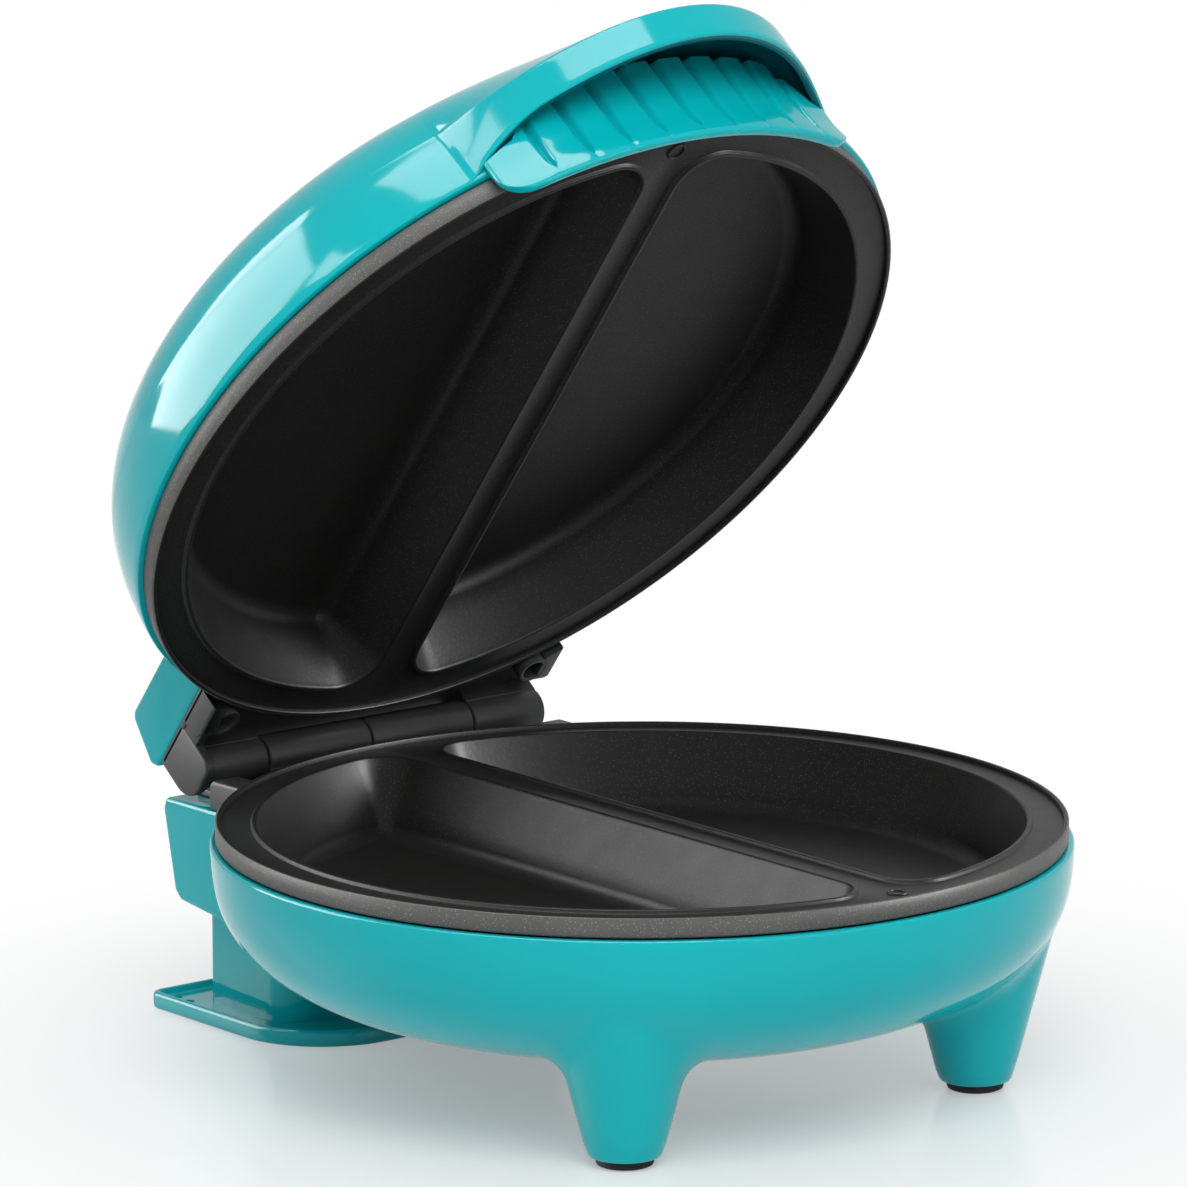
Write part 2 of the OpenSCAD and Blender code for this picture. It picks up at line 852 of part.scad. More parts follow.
// Fluted inner cover of the handle, with the lip that closes over the rims
module handle_grip() {
    half = asin(grip_w / 2 / grip_r);
    lip_z = lid_z - lip_drop;
    grip_top_z = lid_z + grip_h;
    groove_step = grip_w / (groove_n + 1);
    in_r = housing_r + 0.4;
    color(teal)
        on_lid()
            difference() {
                intersection() {
                    rotate([0, 0, -90 - half])
                        rotate_extrude(angle = 2 * half, $fn = 180)
                            polygon([[in_r + 0.6, lip_z + 0.6], [grip_r - 1.4, lip_z],
                                [grip_r - 0.3, lip_z + 0.5], [grip_r, lip_z + 1.6],
                                [grip_r - 0.9, lip_z + 5], [grip_r - 1.3, lip_z + 10],
                                [grip_r - 1, lip_z + 18], [grip_r - 0.4, grip_top_z],
                                [in_r, grip_top_z], [in_r, dome_rim_z + 0.6],
                                [in_r + 0.6, dome_rim_z]]);
                    union() {
                        finger_hollow();
                        translate([0, 0, band_z - seat - 2 * plate_r])
                            cylinder(r = 2 * housing_r, h = 2 * plate_r, $fn = 16);
                    }
                }
                for (i = [0:groove_n - 1])
                    groove((i - (groove_n - 1) / 2) * groove_step, lip_z + 3, grip_h + lip_drop);
            }
}

// One upright groove in the grip, a V in plan
groove_d = 1.5;
groove_half = 1.6;
module groove(x, z, h) {
    rotate([0, 0, asin(x / grip_r)])
        translate([0, groove_d * 0.6 - grip_r, z])
            linear_extrude(h)
                polygon([[-groove_half, -groove_d], [0, groove_d * 0.6], [groove_half, -groove_d]]);
}

// Moulded block over the hinge, fixed to the back of the dome
lid_lead_z = lid_block_z + lid_block_h / 2;
long_screw = 10;
module upper_hinge_block() {
    top_z = lid_block_z + lid_block_h;
    color(teal)
        on_lid()
            difference() {
                union() {
                    difference() {
                        rotate([90, 0, 90])
                            translate([0, 0, -block_x])
                                linear_extrude(2 * block_x)
                                    polygon([[pillar_front_y, lid_block_z],
                                        [block_y - 1.6, lid_block_z], [block_y, lid_block_z + 1],
                                        [block_y + 0.4, lid_block_z + 2.6],
                                        [block_y - 3.4, top_z - 0.6], [block_y - 5, top_z],
                                        [pillar_front_y, top_z]]);
                        translate([-block_x + wall, pillar_front_y - cut, lid_block_z + wall])
                            cube([2 * (block_x - wall), block_y - 4 - wall - pillar_front_y + cut,
                                lid_block_h - 2 * wall]);
                    }
                    upper_bracket_places()
                        cylinder(r = cup_r, h = lid_block_h - 1, $fn = round_n);
                }
                dome_solid(seat);
                upper_bracket_places()
                    translate([0, 0, -cut])
                        cylinder(r = screw_r + hole_fit, h = long_screw + cut, $fn = round_n);
            }
}

module upper_plate() {
    color(cast)
        on_lid()
            translate([0, 0, lid_z])
                mirror([0, 0, 1])
                    plate_shape();
}

module upper_element() {
    color(metal)
        on_lid()
            translate([0, 0, lid_z])
                mirror([0, 0, 1])
                    element_shape();
}

module upper_heat_shield() {
    color(metal)
        on_lid()
            translate([0, 0, lid_z])
                mirror([0, 0, 1])
                    shield_shape();
}

module upper_plate_screws() {
    color(metal)
        on_lid()
            for (a = boss_angles)
                rotate([0, 0, a])
                    translate([boss_at, 0, lid_z + shield_d + shield_t])
                        screw(screw_r, shield_t + screw_bite, head_r - 0.3, head_h - 0.2);
}

module upper_wiring() {
    z = lid_z + pin_d + wire_r + 0.1;
    r = housing_r;
    color("#c9b48a")
        on_lid()
            for (s = [-1, 1]) {
                wire([[s * 3, r + 8.6, lid_lead_z], [s * 3, r - 4.4, lid_lead_z],
                    [s * 3, r - 11.4, lid_lead_z + 5],
                    [s * 4, r - 17.4, min(z - 8, under_dome(r - 17.4))],
                    [s * 8, r - 21.9, min(z, under_dome(r - 21.9))], [s * pin_x, pin_y, z]]);
                wire([[s * pin_x, pin_y, z], [s * 2 * lens_x, 0, z],
                    [s * lens_x, -lens_y, lamp_z - wire_r]]);
            }
}

// Indicator lenses and lamps on the crown of the lid
lens_x = 12;
lens_y = 40;
lens_edge = 0.9;
lens_body = 10.5;
lens_top_z = lid_z + dome_h + lens_edge + 0.1;
lamp_r = 2.8;
lamp_z = lid_z + shield_d + shield_t + 4.5;
lamp_h = lid_z + dome_h - 3.5 - lamp_z;
module lens_places() {
    for (s = [-1, 1])
        translate([s * lens_x, -lens_y, lid_z + dome_h - 20])
            children();
}

module lens(s) {
    on_lid()
        translate([s * lens_x, -lens_y, 0])
            difference() {
                union() {
                    translate([0, 0, lens_top_z - lens_edge])
                        cylinder(r1 = lens_r, r2 = lens_r - 0.8, h = lens_edge, $fn = round_n);
                    translate([0, 0, lens_top_z - lens_body - 0.5])
                        cylinder(r = lens_r - 0.6, h = lens_body, $fn = round_n);
                }
                translate([0, 0, lens_top_z - lens_body - 1.5])
                    cylinder(r = lamp_r + 0.2, h = lens_body - 1.5, $fn = round_n);
            }
}

module power_lens() {
    color("#c03028")
        lens(-1);
}

module ready_lens() {
    color("#3a9a48")
        lens(1);
}

module indicator_lamps() {
    color("#d8d4cc")
        on_lid()
            for (s = [-1, 1])
                translate([s * lens_x, -lens_y, lamp_z])
                    cylinder(r = lamp_r, h = lamp_h, $fn = round_n);
}

module upper_bracket_places() {
    for (s = [-1, 1])
        translate([s * upper_screw_x, upper_screw_y, lid_block_z])
            children();
}

// Cap that closes the left end of the hinge
module hinge_cap() {
    hull() {
        translate([0, hinge_y + cap_back - cap_r, hinge_z + cap_r - cap_drop])
            rotate([0, 90, 0])
                cylinder(r = cap_r, h = cap_t, $fn = 32);
        translate([0, hinge_y + cap_toe_r - cap_front, hinge_z + cap_toe_r - cap_drop])
            rotate([0, 90, 0])
                cylinder(r = cap_toe_r, h = cap_t, $fn = 32);
        translate([0, hinge_y - cap_front, lid_z - arm_drop])
            cube([cap_t, cap_front + cap_back, lid_block_z - lid_z + arm_drop]);
    }
}

// Bracket with two arms. Its screws lie deep in round cups beside the arms
cup_r = 4.4;
module upper_hinge_bracket() {
    plate_z = lid_block_z - bracket_t;
    arm_z = lid_z - arm_drop;
    color(black)
        on_lid()
            difference() {
                union() {
                    translate([-block_x, bracket_y, plate_z])
                        cube([2 * block_x, hinge_y + knuckle_r - 0.7 - bracket_y, bracket_t]);
                    for (s = [-1, 1]) {
                        x0 = s > 0 ? knuckle_out : -block_x;
                        knuckle(x0, x0 + block_x - knuckle_out);
                        translate([x0, hinge_y - knuckle_r, hinge_z])
                            cube([block_x - knuckle_out, knuckle_r + 4, block_gap]);
                        translate([s > 0 ? block_x - arm_w : -block_x, bracket_y, arm_z])
                            cube([arm_w, arm_len, lid_block_z - arm_z]);
                    }
                    translate([-block_x, 0, 0])
                        hinge_cap();
                    translate([-block_x, bracket_y, arm_z])
                        cube([cap_t, hinge_y - bracket_y, lid_block_z - arm_z]);
                    upper_bracket_places()
                        translate([0, 0, arm_z - lid_block_z])
                            cylinder(r = cup_r, h = lid_block_z - arm_z, $fn = round_n);
                }
                translate([cap_t, 0, 0])
                    pin_hole();
                cylinder(r = bracket_r, h = 2 * rim_z, $fn = fine);
                upper_bracket_places() {
                    translate([0, 0, -long_screw])
                        cylinder(r = screw_r + 2 * hole_fit, h = long_screw + cut, $fn = round_n);
                    translate([0, 0, -long_screw])
                        cylinder(r = cup_r - 1.4, h = long_screw - bracket_t, $fn = round_n);
                }
            }
}

module upper_hinge_screws() {
    color(metal)
        on_lid()
            upper_bracket_places()
                translate([0, 0, -bracket_t])
                    mirror([0, 0, 1])
                        screw(screw_r, long_screw, small_head_r - 0.1, small_head_h + 0.2);
}

lower_housing();
leg_pads();
rear_column();
rear_foot();
rear_foot_screws();
cord_bush();
terminal_block();
lower_plate();
lower_element();
lower_heat_shield();
lower_plate_screws();
thermostat();
thermal_fuse();
lower_wiring();
lower_hinge_bracket();
lower_hinge_screws();
hinge_pin();
upper_housing();
handle_grip();
upper_hinge_block();
upper_plate();
upper_element();
upper_heat_shield();
upper_plate_screws();
upper_wiring();
power_lens();
ready_lens();
indicator_lamps();
upper_hinge_bracket();
upper_hinge_screws();
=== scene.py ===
import json
from math import asin, atan, atan2, cos, degrees, hypot, pi, radians, sin, sqrt

import bmesh
import bpy
from mathutils import Matrix, Vector


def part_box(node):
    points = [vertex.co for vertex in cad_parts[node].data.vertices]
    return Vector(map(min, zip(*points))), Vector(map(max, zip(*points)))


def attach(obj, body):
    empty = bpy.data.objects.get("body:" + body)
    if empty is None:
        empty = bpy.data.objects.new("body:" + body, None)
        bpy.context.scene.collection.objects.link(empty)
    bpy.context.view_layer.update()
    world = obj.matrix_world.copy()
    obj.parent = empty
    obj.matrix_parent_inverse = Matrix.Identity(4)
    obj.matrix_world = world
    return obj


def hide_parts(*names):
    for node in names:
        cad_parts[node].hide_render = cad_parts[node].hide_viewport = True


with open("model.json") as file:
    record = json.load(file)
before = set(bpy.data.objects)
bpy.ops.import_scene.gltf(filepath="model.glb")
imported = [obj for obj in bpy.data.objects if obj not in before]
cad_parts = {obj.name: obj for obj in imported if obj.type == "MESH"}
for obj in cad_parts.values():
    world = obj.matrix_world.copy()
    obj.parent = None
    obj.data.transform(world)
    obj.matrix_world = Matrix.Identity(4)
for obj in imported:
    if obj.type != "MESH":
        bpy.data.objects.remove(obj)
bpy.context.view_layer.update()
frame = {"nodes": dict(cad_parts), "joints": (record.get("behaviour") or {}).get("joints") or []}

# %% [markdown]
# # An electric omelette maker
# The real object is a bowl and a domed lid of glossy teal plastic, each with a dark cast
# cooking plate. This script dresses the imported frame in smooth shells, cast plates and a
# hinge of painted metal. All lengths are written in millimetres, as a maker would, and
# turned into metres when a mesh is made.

MM = 0.001
hinge = frame["joints"][0]
hinge_y = hinge["pos_m"][1] / MM
hinge_z = hinge["pos_m"][2] / MM
print("hinge axis at y %.1f, z %.1f mm" % (hinge_y, hinge_z))

# %% [markdown]
# ## Leading sizes
# Nearly all of the object hangs on a few numbers: the plate's rim, the two rounded shells
# round it and the angle at which the lid stands open. The frame gives the rest angle,
# because the hinge can close by exactly that much.

# %% Leading sizes
lid_open = -hinge["range_deg"][0]
plate_r = 107.0
rim_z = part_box("lower_plate")[1].z / MM
lid_z = rim_z + 0.5
skirt_h = 5.0
seam = 0.4
wall = 2.6
housing_r = 108.4
bowl_z = rim_z - 4.0
bowl_h = 45.4
dome_h = 49.5
bowl_power = (3.35, 2.79)
dome_power = (5.5, 2.65)
print("lid open %.0f deg, rim at %.1f mm" % (lid_open, rim_z))

# %% [markdown]
# ## Mesh helpers
# Most pieces here are rows of points with faces between them. One helper joins such rings
# into a mesh, and a few more turn the mesh into a smooth object that rides on its body.
# The lid's pieces are drawn shut, where their sizes are easy to think about, and then
# swung open about the hinge.

# %% Swing a point from the shut lid to the open one
def swing_matrix(angle):
    axis = Vector((0, hinge_y, hinge_z))
    return (Matrix.Translation(axis) @ Matrix.Rotation(radians(-angle), 4, "X")
            @ Matrix.Translation(-axis))


lid_swing = swing_matrix(lid_open)

# %% Join rings of points into faces
def ring_faces(rings, caps=True):
    """Quads between rings that have the same number of points, and a face on each end."""
    points = [p for ring in rings for p in ring]
    count = len(rings[0])
    faces = []
    for row in range(len(rings) - 1):
        for i in range(count):
            a, b = row * count + i, row * count + (i + 1) % count
            faces.append((a, b, b + count, a + count))
    if caps:
        faces.append(tuple(reversed(range(count))))
        faces.append(tuple(range(len(points) - count, len(points))))
    return points, faces


def revolve(rows, steps, centre=(0, 0)):
    """Rings about an upright axis, one for each row of radius and height."""
    return [[(centre[0] + r * cos(2 * pi * i / steps), centre[1] + r * sin(2 * pi * i / steps), z)
             for i in range(steps)] for r, z in rows]


# %% Turn points and faces into an object
def mark_sharp(bm, angle):
    """Keeps the edges sharp that turn by more than the given angle."""
    for edge in bm.edges:
        if len(edge.link_faces) == 2:
            edge.smooth = edge.calc_face_angle(0) < radians(angle)


def make_mesh(name, points, faces, on_lid=False, smooth_angle=35, weld=0.01):
    mesh = bpy.data.meshes.new(name)
    mesh.from_pydata([tuple(p) for p in points], [], faces)
    bm = bmesh.new()
    bm.from_mesh(mesh)
    bmesh.ops.remove_doubles(bm, verts=bm.verts, dist=weld)
    bmesh.ops.dissolve_degenerate(bm, edges=bm.edges, dist=weld / 2)
    bmesh.ops.recalc_face_normals(bm, faces=bm.faces)
    if on_lid:
        bmesh.ops.transform(bm, matrix=lid_swing, verts=bm.verts)
    bmesh.ops.scale(bm, vec=(MM, MM, MM), verts=bm.verts)
    for face in bm.faces:
        face.smooth = True
    mark_sharp(bm, smooth_angle)
    bm.to_mesh(mesh)
    bm.free()
    piece = bpy.data.objects.new(name, mesh)
    bpy.context.scene.collection.objects.link(piece)
    return piece


def turned(name, rows, steps, centre=(0, 0), **settings):
    """An object turned about an upright axis, open where its rows end."""
    return make_mesh(name, *ring_faces(revolve(rows, steps, centre), caps=False), **settings)


# %% Apply a modifier, join pieces, and finish one
def apply_modifier(piece, kind, **settings):
    modifier = piece.modifiers.new(kind.lower(), kind)
    for key, value in settings.items():
        setattr(modifier, key, value)
    bpy.context.view_layer.update()
    graph = bpy.context.evaluated_depsgraph_get()
    mesh = bpy.data.meshes.new_from_object(piece.evaluated_get(graph))
    piece.modifiers.clear()
    piece.data = mesh
    for face in mesh.polygons:
        face.use_smooth = True


def join(name, pieces):
    """Puts the meshes of several pieces into one object."""
    bm = bmesh.new()
    for piece in pieces:
        bm.from_mesh(piece.data)
    mesh = bpy.data.meshes.new(name)
    bm.to_mesh(mesh)
    bm.free()
    for piece in pieces:
        bpy.data.objects.remove(piece)
    joined = bpy.data.objects.new(name, mesh)
    bpy.context.scene.collection.objects.link(joined)
    return joined


def finish_piece(piece, body, nodes, material):
    """Gives a piece its material and body, and lets it stand for its CAD nodes."""
    piece.data.materials.clear()
    piece.data.materials.append(material)
    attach(piece, body)
    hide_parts(*nodes)
    print("%-20s %6d faces" % (piece.name, len(piece.data.polygons)))
    return piece


# %% Bevelled prisms, cuts and holes
def prism(name, outline, low, high, bevel, on_lid=False, segments=3):
    """A side outline drawn out along X, with all its edges rounded."""
    piece = make_mesh(name, *ring_faces([[(x, y, z) for y, z in outline] for x in (low, high)]),
                      on_lid=on_lid)
    apply_modifier(piece, "BEVEL", width=bevel * MM, segments=segments,
                   limit_method="ANGLE", angle_limit=radians(30))
    return piece


def cut(piece, cutter):
    apply_modifier(piece, "BOOLEAN", object=cutter, operation="DIFFERENCE", solver="EXACT")


def drill(piece, holes, on_lid=False):
    """Bores upright holes, each with its radius, ends, number of sides and place."""
    bits = join("bits", [
        make_mesh("bit", *ring_faces(revolve([(r, low), (r, high)], sides, (x, y))), on_lid=on_lid)
        for r, low, high, sides, x, y in holes])
    cut(piece, bits)
    bpy.data.objects.remove(bits)


def sharpen(piece, angle):
    bm = bmesh.new()
    bm.from_mesh(piece.data)
    mark_sharp(bm, angle)
    bm.to_mesh(piece.data)
    bm.free()


# %% [markdown]
# ## Materials
# Each finish is a Principled shader with its own small nodes. Noise in object space gives
# moulded plastic its faint waviness, and the cast plates their speckled coating. Numbers
# that are the same all over the surface are set on the shader's own sockets.

# %% Nodes and links
def add(tree, kind, *sources, **values):
    """Adds a shader node, links its first inputs to the sources and sets others by name."""
    node = tree.nodes.new("ShaderNode" + kind)
    for socket, source in zip(node.inputs, sources):
        tree.links.new(source, socket)
    for socket, value in values.items():
        node.inputs[socket.replace("_", " ")].default_value = value
    return node


def start_material(name):
    material = bpy.data.materials.new(name)
    material.use_nodes = True
    tree = material.node_tree
    return material, tree, tree.nodes["Principled BSDF"], add(tree, "TexCoord").outputs["Object"]


def feed(tree, shader, colour, rough, specular):
    tree.links.new(colour, shader.inputs["Base Color"])
    tree.links.new(rough, shader.inputs["Roughness"])
    shader.inputs["Specular IOR Level"].default_value = specular


# %% Noise, and what it drives
def noise(tree, place, scale, detail=2.0):
    return add(tree, "TexNoise", place, Scale=scale, Detail=detail).outputs["Fac"]


def ramp(tree, value, *stops):
    """A ramp through two (place, colour) stops, colours as linear red, green, blue."""
    node = add(tree, "ValToRGB", value)
    for element, (at, colour) in zip(node.color_ramp.elements, stops):
        element.position = at
        element.color = (*colour, 1)
    return node.outputs["Color"]


def shades(tree, value, base, dark, light, edge=0.3):
    """The base colour times a dark factor at low values and a light one at high values."""
    return ramp(tree, value, (edge, [c * dark for c in base]),
                (1 - edge, [min(c * light, 1) for c in base]))


def span(tree, value, low, high):
    """Maps a value from 0 to 1 onto a range."""
    return add(tree, "MapRange", value, To_Min=low, To_Max=high).outputs["Result"]


def bump(tree, shader, height, strength, distance):
    node = add(tree, "Bump", Strength=strength, Distance=distance)
    tree.links.new(height, node.inputs["Height"])
    tree.links.new(node.outputs["Normal"], shader.inputs["Normal"])


# %% Glossy teal plastic
def teal_plastic(name, base):
    material, tree, shader, place = start_material(name)
    feed(tree, shader, shades(tree, noise(tree, place, 9, 3), base, 0.95, 1.04, 0.35),
         span(tree, noise(tree, place, 60, 3), 0.06, 0.13), 0.2)
    bump(tree, shader, noise(tree, place, 24, 1), 0.04, 0.0006)
    return material


teal = teal_plastic("teal_gloss", (0.002, 0.41, 0.45))
# A much darker teal: painted shade for the hollow under the visor
recess_shade_teal = teal_plastic("teal_recess_painted_shade", (0.001, 0.10, 0.125))

# %% [markdown]
# ### The non-stick coating
# The plates are sprayed with a dark coating that holds fine light flecks. Cell noise makes
# the flecks, cut hard by a ramp so that only the heart of a cell shows. On the lip's edge
# the coat is lighter.

# %% Speckled coating
def coated_casting(name, base, fleck, sheen_low, sheen_high):
    material, tree, shader, place = start_material(name)
    cells = add(tree, "TexVoronoi", place, Scale=1500)
    blend = add(tree, "Mix")
    blend.data_type = "RGBA"
    blend.blend_type = "LIGHTEN"
    blend.inputs["Factor"].default_value = 1
    tree.links.new(shades(tree, noise(tree, place, 14, 4), base, 0.8, 1.25), blend.inputs[6])
    tree.links.new(ramp(tree, cells.outputs["Distance"], (0.10, fleck), (0.24, base)),
                   blend.inputs[7])
    feed(tree, shader, blend.outputs[2],
         span(tree, noise(tree, place, 120, 4), sheen_low, sheen_high), 0.14)
    bump(tree, shader, noise(tree, place, 1100, 3), 0.35, 0.00012)
    return material


coating = coated_casting("speckled_coating", (0.0095, 0.0092, 0.009), (0.055, 0.053, 0.051),
                         0.38, 0.48)
# A lighter coat for the outer edge of each plate's lip
edge_coating = coated_casting("light_edge_coating", (0.080, 0.078, 0.076), (0.24, 0.23, 0.22),
                              0.38, 0.50)

# %% Painted metal, rubber and bright metal
def painted_metal(name, base, rough):
    material, tree, shader, place = start_material(name)
    feed(tree, shader, shades(tree, noise(tree, place, 40, 5), base, 0.75, 1.3),
         span(tree, noise(tree, place, 90, 3), rough - 0.06, rough + 0.08), 0.28)
    bump(tree, shader, noise(tree, place, 900, 3), 0.3, 0.0001)
    return material


def bright_metal(name, base, rough, grain=(1, 1, 1)):
    material, tree, shader, place = start_material(name)
    stretched = add(tree, "Mapping", place, Scale=grain).outputs["Vector"]
    brushed = noise(tree, stretched, 400, 4)
    feed(tree, shader, shades(tree, brushed, base, 0.8, 1),
         span(tree, brushed, rough - 0.08, rough + 0.12), 0.5)
    shader.inputs["Metallic"].default_value = 1
    bump(tree, shader, brushed, 0.15, 0.00005)
    return material


hinge_paint = painted_metal("hinge_paint", (0.026, 0.026, 0.026), 0.44)
pad_rubber = painted_metal("pad_rubber", (0.010, 0.010, 0.010), 0.72)
screw_metal = bright_metal("screw_metal", (0.55, 0.55, 0.56), 0.32)
tube_metal = bright_metal("element_tube", (0.30, 0.27, 0.25), 0.40, (1, 1, 8))
sheet_metal = bright_metal("shield_sheet", (0.72, 0.72, 0.74), 0.28, (1, 12, 1))
glazed_clay = painted_metal("glazed_ceramic", (0.72, 0.69, 0.60), 0.25)
brown_resin = painted_metal("brown_resin", (0.12, 0.06, 0.03), 0.45)
sleeve_weave = painted_metal("glass_sleeve", (0.62, 0.55, 0.38), 0.8)


# %% [markdown]
# ### Lens plastic
# The lenses are clear coloured plastic, so light goes through them. A little noise in the
# colour keeps them from looking like paint.

# %% Lens plastic
def lens_plastic(name, base):
    material, tree, shader, place = start_material(name)
    feed(tree, shader, shades(tree, noise(tree, place, 200), base, 0.7, 1),
         span(tree, noise(tree, place, 300), 0.06, 0.16), 0.5)
    shader.inputs["Transmission Weight"].default_value = 0.45
    return material


red_lens = lens_plastic("red_lens", (0.55, 0.03, 0.02))
green_lens = lens_plastic("green_lens", (0.03, 0.40, 0.09))
lamp_glass = lens_plastic("lamp_glass", (0.8, 0.76, 0.7))

# %% [markdown]
# ## The camera
# The photograph was taken from far away with a long lens, a little above the table and
# from the front left. The rims of the two plates, seen as ellipses, fix its place: their
# flatness gives the height, and the lid's ellipse the side from which it looks.

# %% Camera from its direction and field of view
camera_side = -38.65
camera_height = 11.96
camera_far = 2.241
camera_target = Vector((-0.0118, 0.0044, 0.1247))
camera_roll = -0.15
half_frame_px = 593.5
focal_px = 9001.0

side, rise = radians(camera_side), radians(camera_height)
look = Vector((-sin(side) * cos(rise), cos(side) * cos(rise), -sin(rise)))
lens = bpy.data.cameras.new("camera")
lens.angle = 2 * atan2(half_frame_px, focal_px)
camera = bpy.data.objects.new("camera", lens)
camera.location = camera_target - look * camera_far
camera.rotation_mode = "QUATERNION"
camera.rotation_quaternion = (look.to_track_quat("-Z", "Y")
                              @ Matrix.Rotation(radians(camera_roll), 4, "Z").to_quaternion())
bpy.context.scene.collection.objects.link(camera)
bpy.context.scene.camera = camera
print("field of view %.2f deg" % degrees(lens.angle))

# %% [markdown]
# ## Rounded shells
# Both housings are solids of revolution whose outline is a squared-off ellipse: flat on
# the crown, full at the shoulder and upright at the rim. A power curve draws it with two
# numbers, and a point's height follows from its radius.

# %% The power curve
def shell_outline(r, h, power, steps):
    """Radius and height from the rim to the crown."""
    n, m = power
    rows = []
    for k in range(steps + 1):
        t = radians(90.0 * k / steps)
        rows.append((r * max(cos(t), 0) ** (2 / n), h * sin(t) ** (2 / m)))
    return rows


def shell_height(q, r, h, power):
    """Height above the rim plane at radius q."""
    n, m = power
    return h * (1 - min(q / r, 1) ** n) ** (1 / m)


def bowl_under(x, y, inside=0.0):
    """Height of the bowl's underside over a point of the table."""
    return bowl_z - shell_height(hypot(x, y), housing_r - inside, bowl_h - inside, bowl_power)


# %% [markdown]
# ## The lower bowl and its legs
# The bowl is one moulding with its two front legs. The bowl is revolved with a real wall
# and a rounded rim. Each leg is a cone that flares into the bowl: on every side of the
# leg a curve leaves the cone, bends and lands on the bowl along its slope, so the blend
# has no visible edge.

# %% Bowl with its wall
leg_x, leg_y = 56.4, 63.0
leg_r, leg_top_r, leg_top_z = 9.3, 15.0, 24.0
pad_h = 2.2
rim_top = rim_z - skirt_h - seam


def bowl_rows():
    """Radius and height from the middle outside, over the rounded rim, to the middle inside."""
    edge = 0.7
    outer, inner = [
        [(r, bowl_z - z)
         for r, z in shell_outline(housing_r - inside, bowl_h - inside, bowl_power, steps)
         if bowl_z - z < rim_top - edge - 0.1]
        for inside, steps in ((0, 48), (wall, 24))]
    r_out, r_in = outer[0][0] + 0.02, inner[0][0] + 0.02
    lip = []
    for k in range(7):
        a = radians(180.0 * k / 6)
        side_r = r_out - edge if k < 3.5 else r_in + edge
        lip.append((side_r + edge * cos(a), rim_top - edge + edge * sin(a)))
    return list(reversed(outer)) + lip + inner


bowl_shell = turned("bowl_shell", bowl_rows(), 224)


# %% One leg that flares into the bowl
flare = 7.5


def leg_rings(cx, cy, steps=72):
    """Walks outward from the leg on every side and draws the leg's profile there."""
    slope = (leg_top_z - pad_h) / (leg_top_r - leg_r)
    columns = []
    for i in range(steps):
        a = 2 * pi * i / steps
        ux, uy = cos(a), sin(a)

        def under(d):
            return bowl_under(cx + d * ux, cy + d * uy)

        def rising(d):
            return atan2(under(d + 0.01) - under(d - 0.01), 0.02)

        meet = leg_r
        while pad_h + (meet - leg_r) * slope < under(meet):
            meet += 0.02
        land, walked = meet, 0.0
        while walked < flare * min(max((atan(slope) - rising(land)) / radians(40), 0.12), 1):
            step = 0.1 * cos(rising(land))
            land, walked = land + step, walked + 0.1
        end = Vector((land, under(land)))
        along = Vector((cos(rising(land)), sin(rising(land))))
        cone = Vector((1, slope)).normalized()
        foot = Vector((leg_r, pad_h))
        turn = along.x * cone.y - along.y * cone.x
        reach = ((end - foot).x * cone.y - (end - foot).y * cone.x) / turn
        corner = end - along * reach
        start = corner - cone * (end - corner).length
        rows = [(0.0, pad_h), (leg_r - 1.2, pad_h), (leg_r - 0.4, pad_h + 0.3),
                (leg_r, pad_h + 1.0)]
        for k in range(1, 6):
            z = pad_h + 1.0 + (start.y - pad_h - 1.0) * k / 6
            rows.append((leg_r + (z - pad_h) / slope, z))
        for k in range(17):
            t = k / 16
            q = start * (1 - t) ** 2 + corner * 2 * t * (1 - t) + end * t ** 2
            rows.append((q.x, q.y))
        for share in (0.97, 0.66, 0.33, 0.0):
            rows.append((land * share, under(land * share) + 1.0))
        columns.append([(cx + r * ux, cy + r * uy, z) for r, z in rows])
    return [[column[k] for column in columns] for k in range(len(columns[0]))]


legs = [make_mesh("leg", *ring_faces(leg_rings(s * leg_x, -leg_y), caps=False), smooth_angle=50)
        for s in (-1, 1)]

# %% Screw wells under the bowl
well_at, screw_well_r = 63.0, 3.8
drill(bowl_shell, [(screw_well_r, 0, 30, 24, well_at * cos(radians(a)), well_at * sin(radians(a)))
                   for a in (45, 135, 225, 315)])
sharpen(bowl_shell, 40)
lower_bowl = join("lower_bowl", [bowl_shell] + legs)
finish_piece(lower_bowl, "base", ["lower_housing"], teal)

# %% [markdown]
# ## Rubber pads
# A pad under each leg is a short black disc with soft edges and a small hollow below.

# %% Pads
pad_r = 7.2
pad_rows = [(0, 0.5), (pad_r - 2.4, 0.5), (pad_r - 1.9, 0.0), (pad_r - 0.9, 0.0),
            (pad_r - 0.25, 0.3), (pad_r, 0.9), (pad_r, 1.8), (pad_r - 0.2, pad_h), (4.2, pad_h),
            (4.2, 7.0), (0, 7.0)]
pads = join("rubber_pads", [turned("pad", pad_rows, 48, (s * leg_x, -leg_y)) for s in (-1, 1)])
finish_piece(pads, "base", ["leg_pads"], pad_rubber)

# %% [markdown]
# ## The rear column
# Behind the bowl stands a block at hinge height, and below it a narrower pillar. Both are
# straight extrusions with soft edges. They are cut back by a slightly larger bowl, which
# leaves the fine seam that the moulding has.

# %% Cut pieces back by the bowl or the dome
shell_gap = 0.35


def clear_shell(parts, up):
    """Leaves a seam between the parts and the dome, or the bowl where up is False."""
    h, power = (dome_h, dome_power) if up else (bowl_h, bowl_power)
    base = lid_z if up else bowl_z
    rows = [(r, base + z if up else base - z)
            for r, z in shell_outline(housing_r + shell_gap, h + shell_gap, power, 40)]
    cutter = turned("shell_cutter", [(0.0, rows[0][1])] + rows, 160, on_lid=up)
    for part in parts:
        cut(part, cutter)
        sharpen(part, 30)
    bpy.data.objects.remove(cutter)


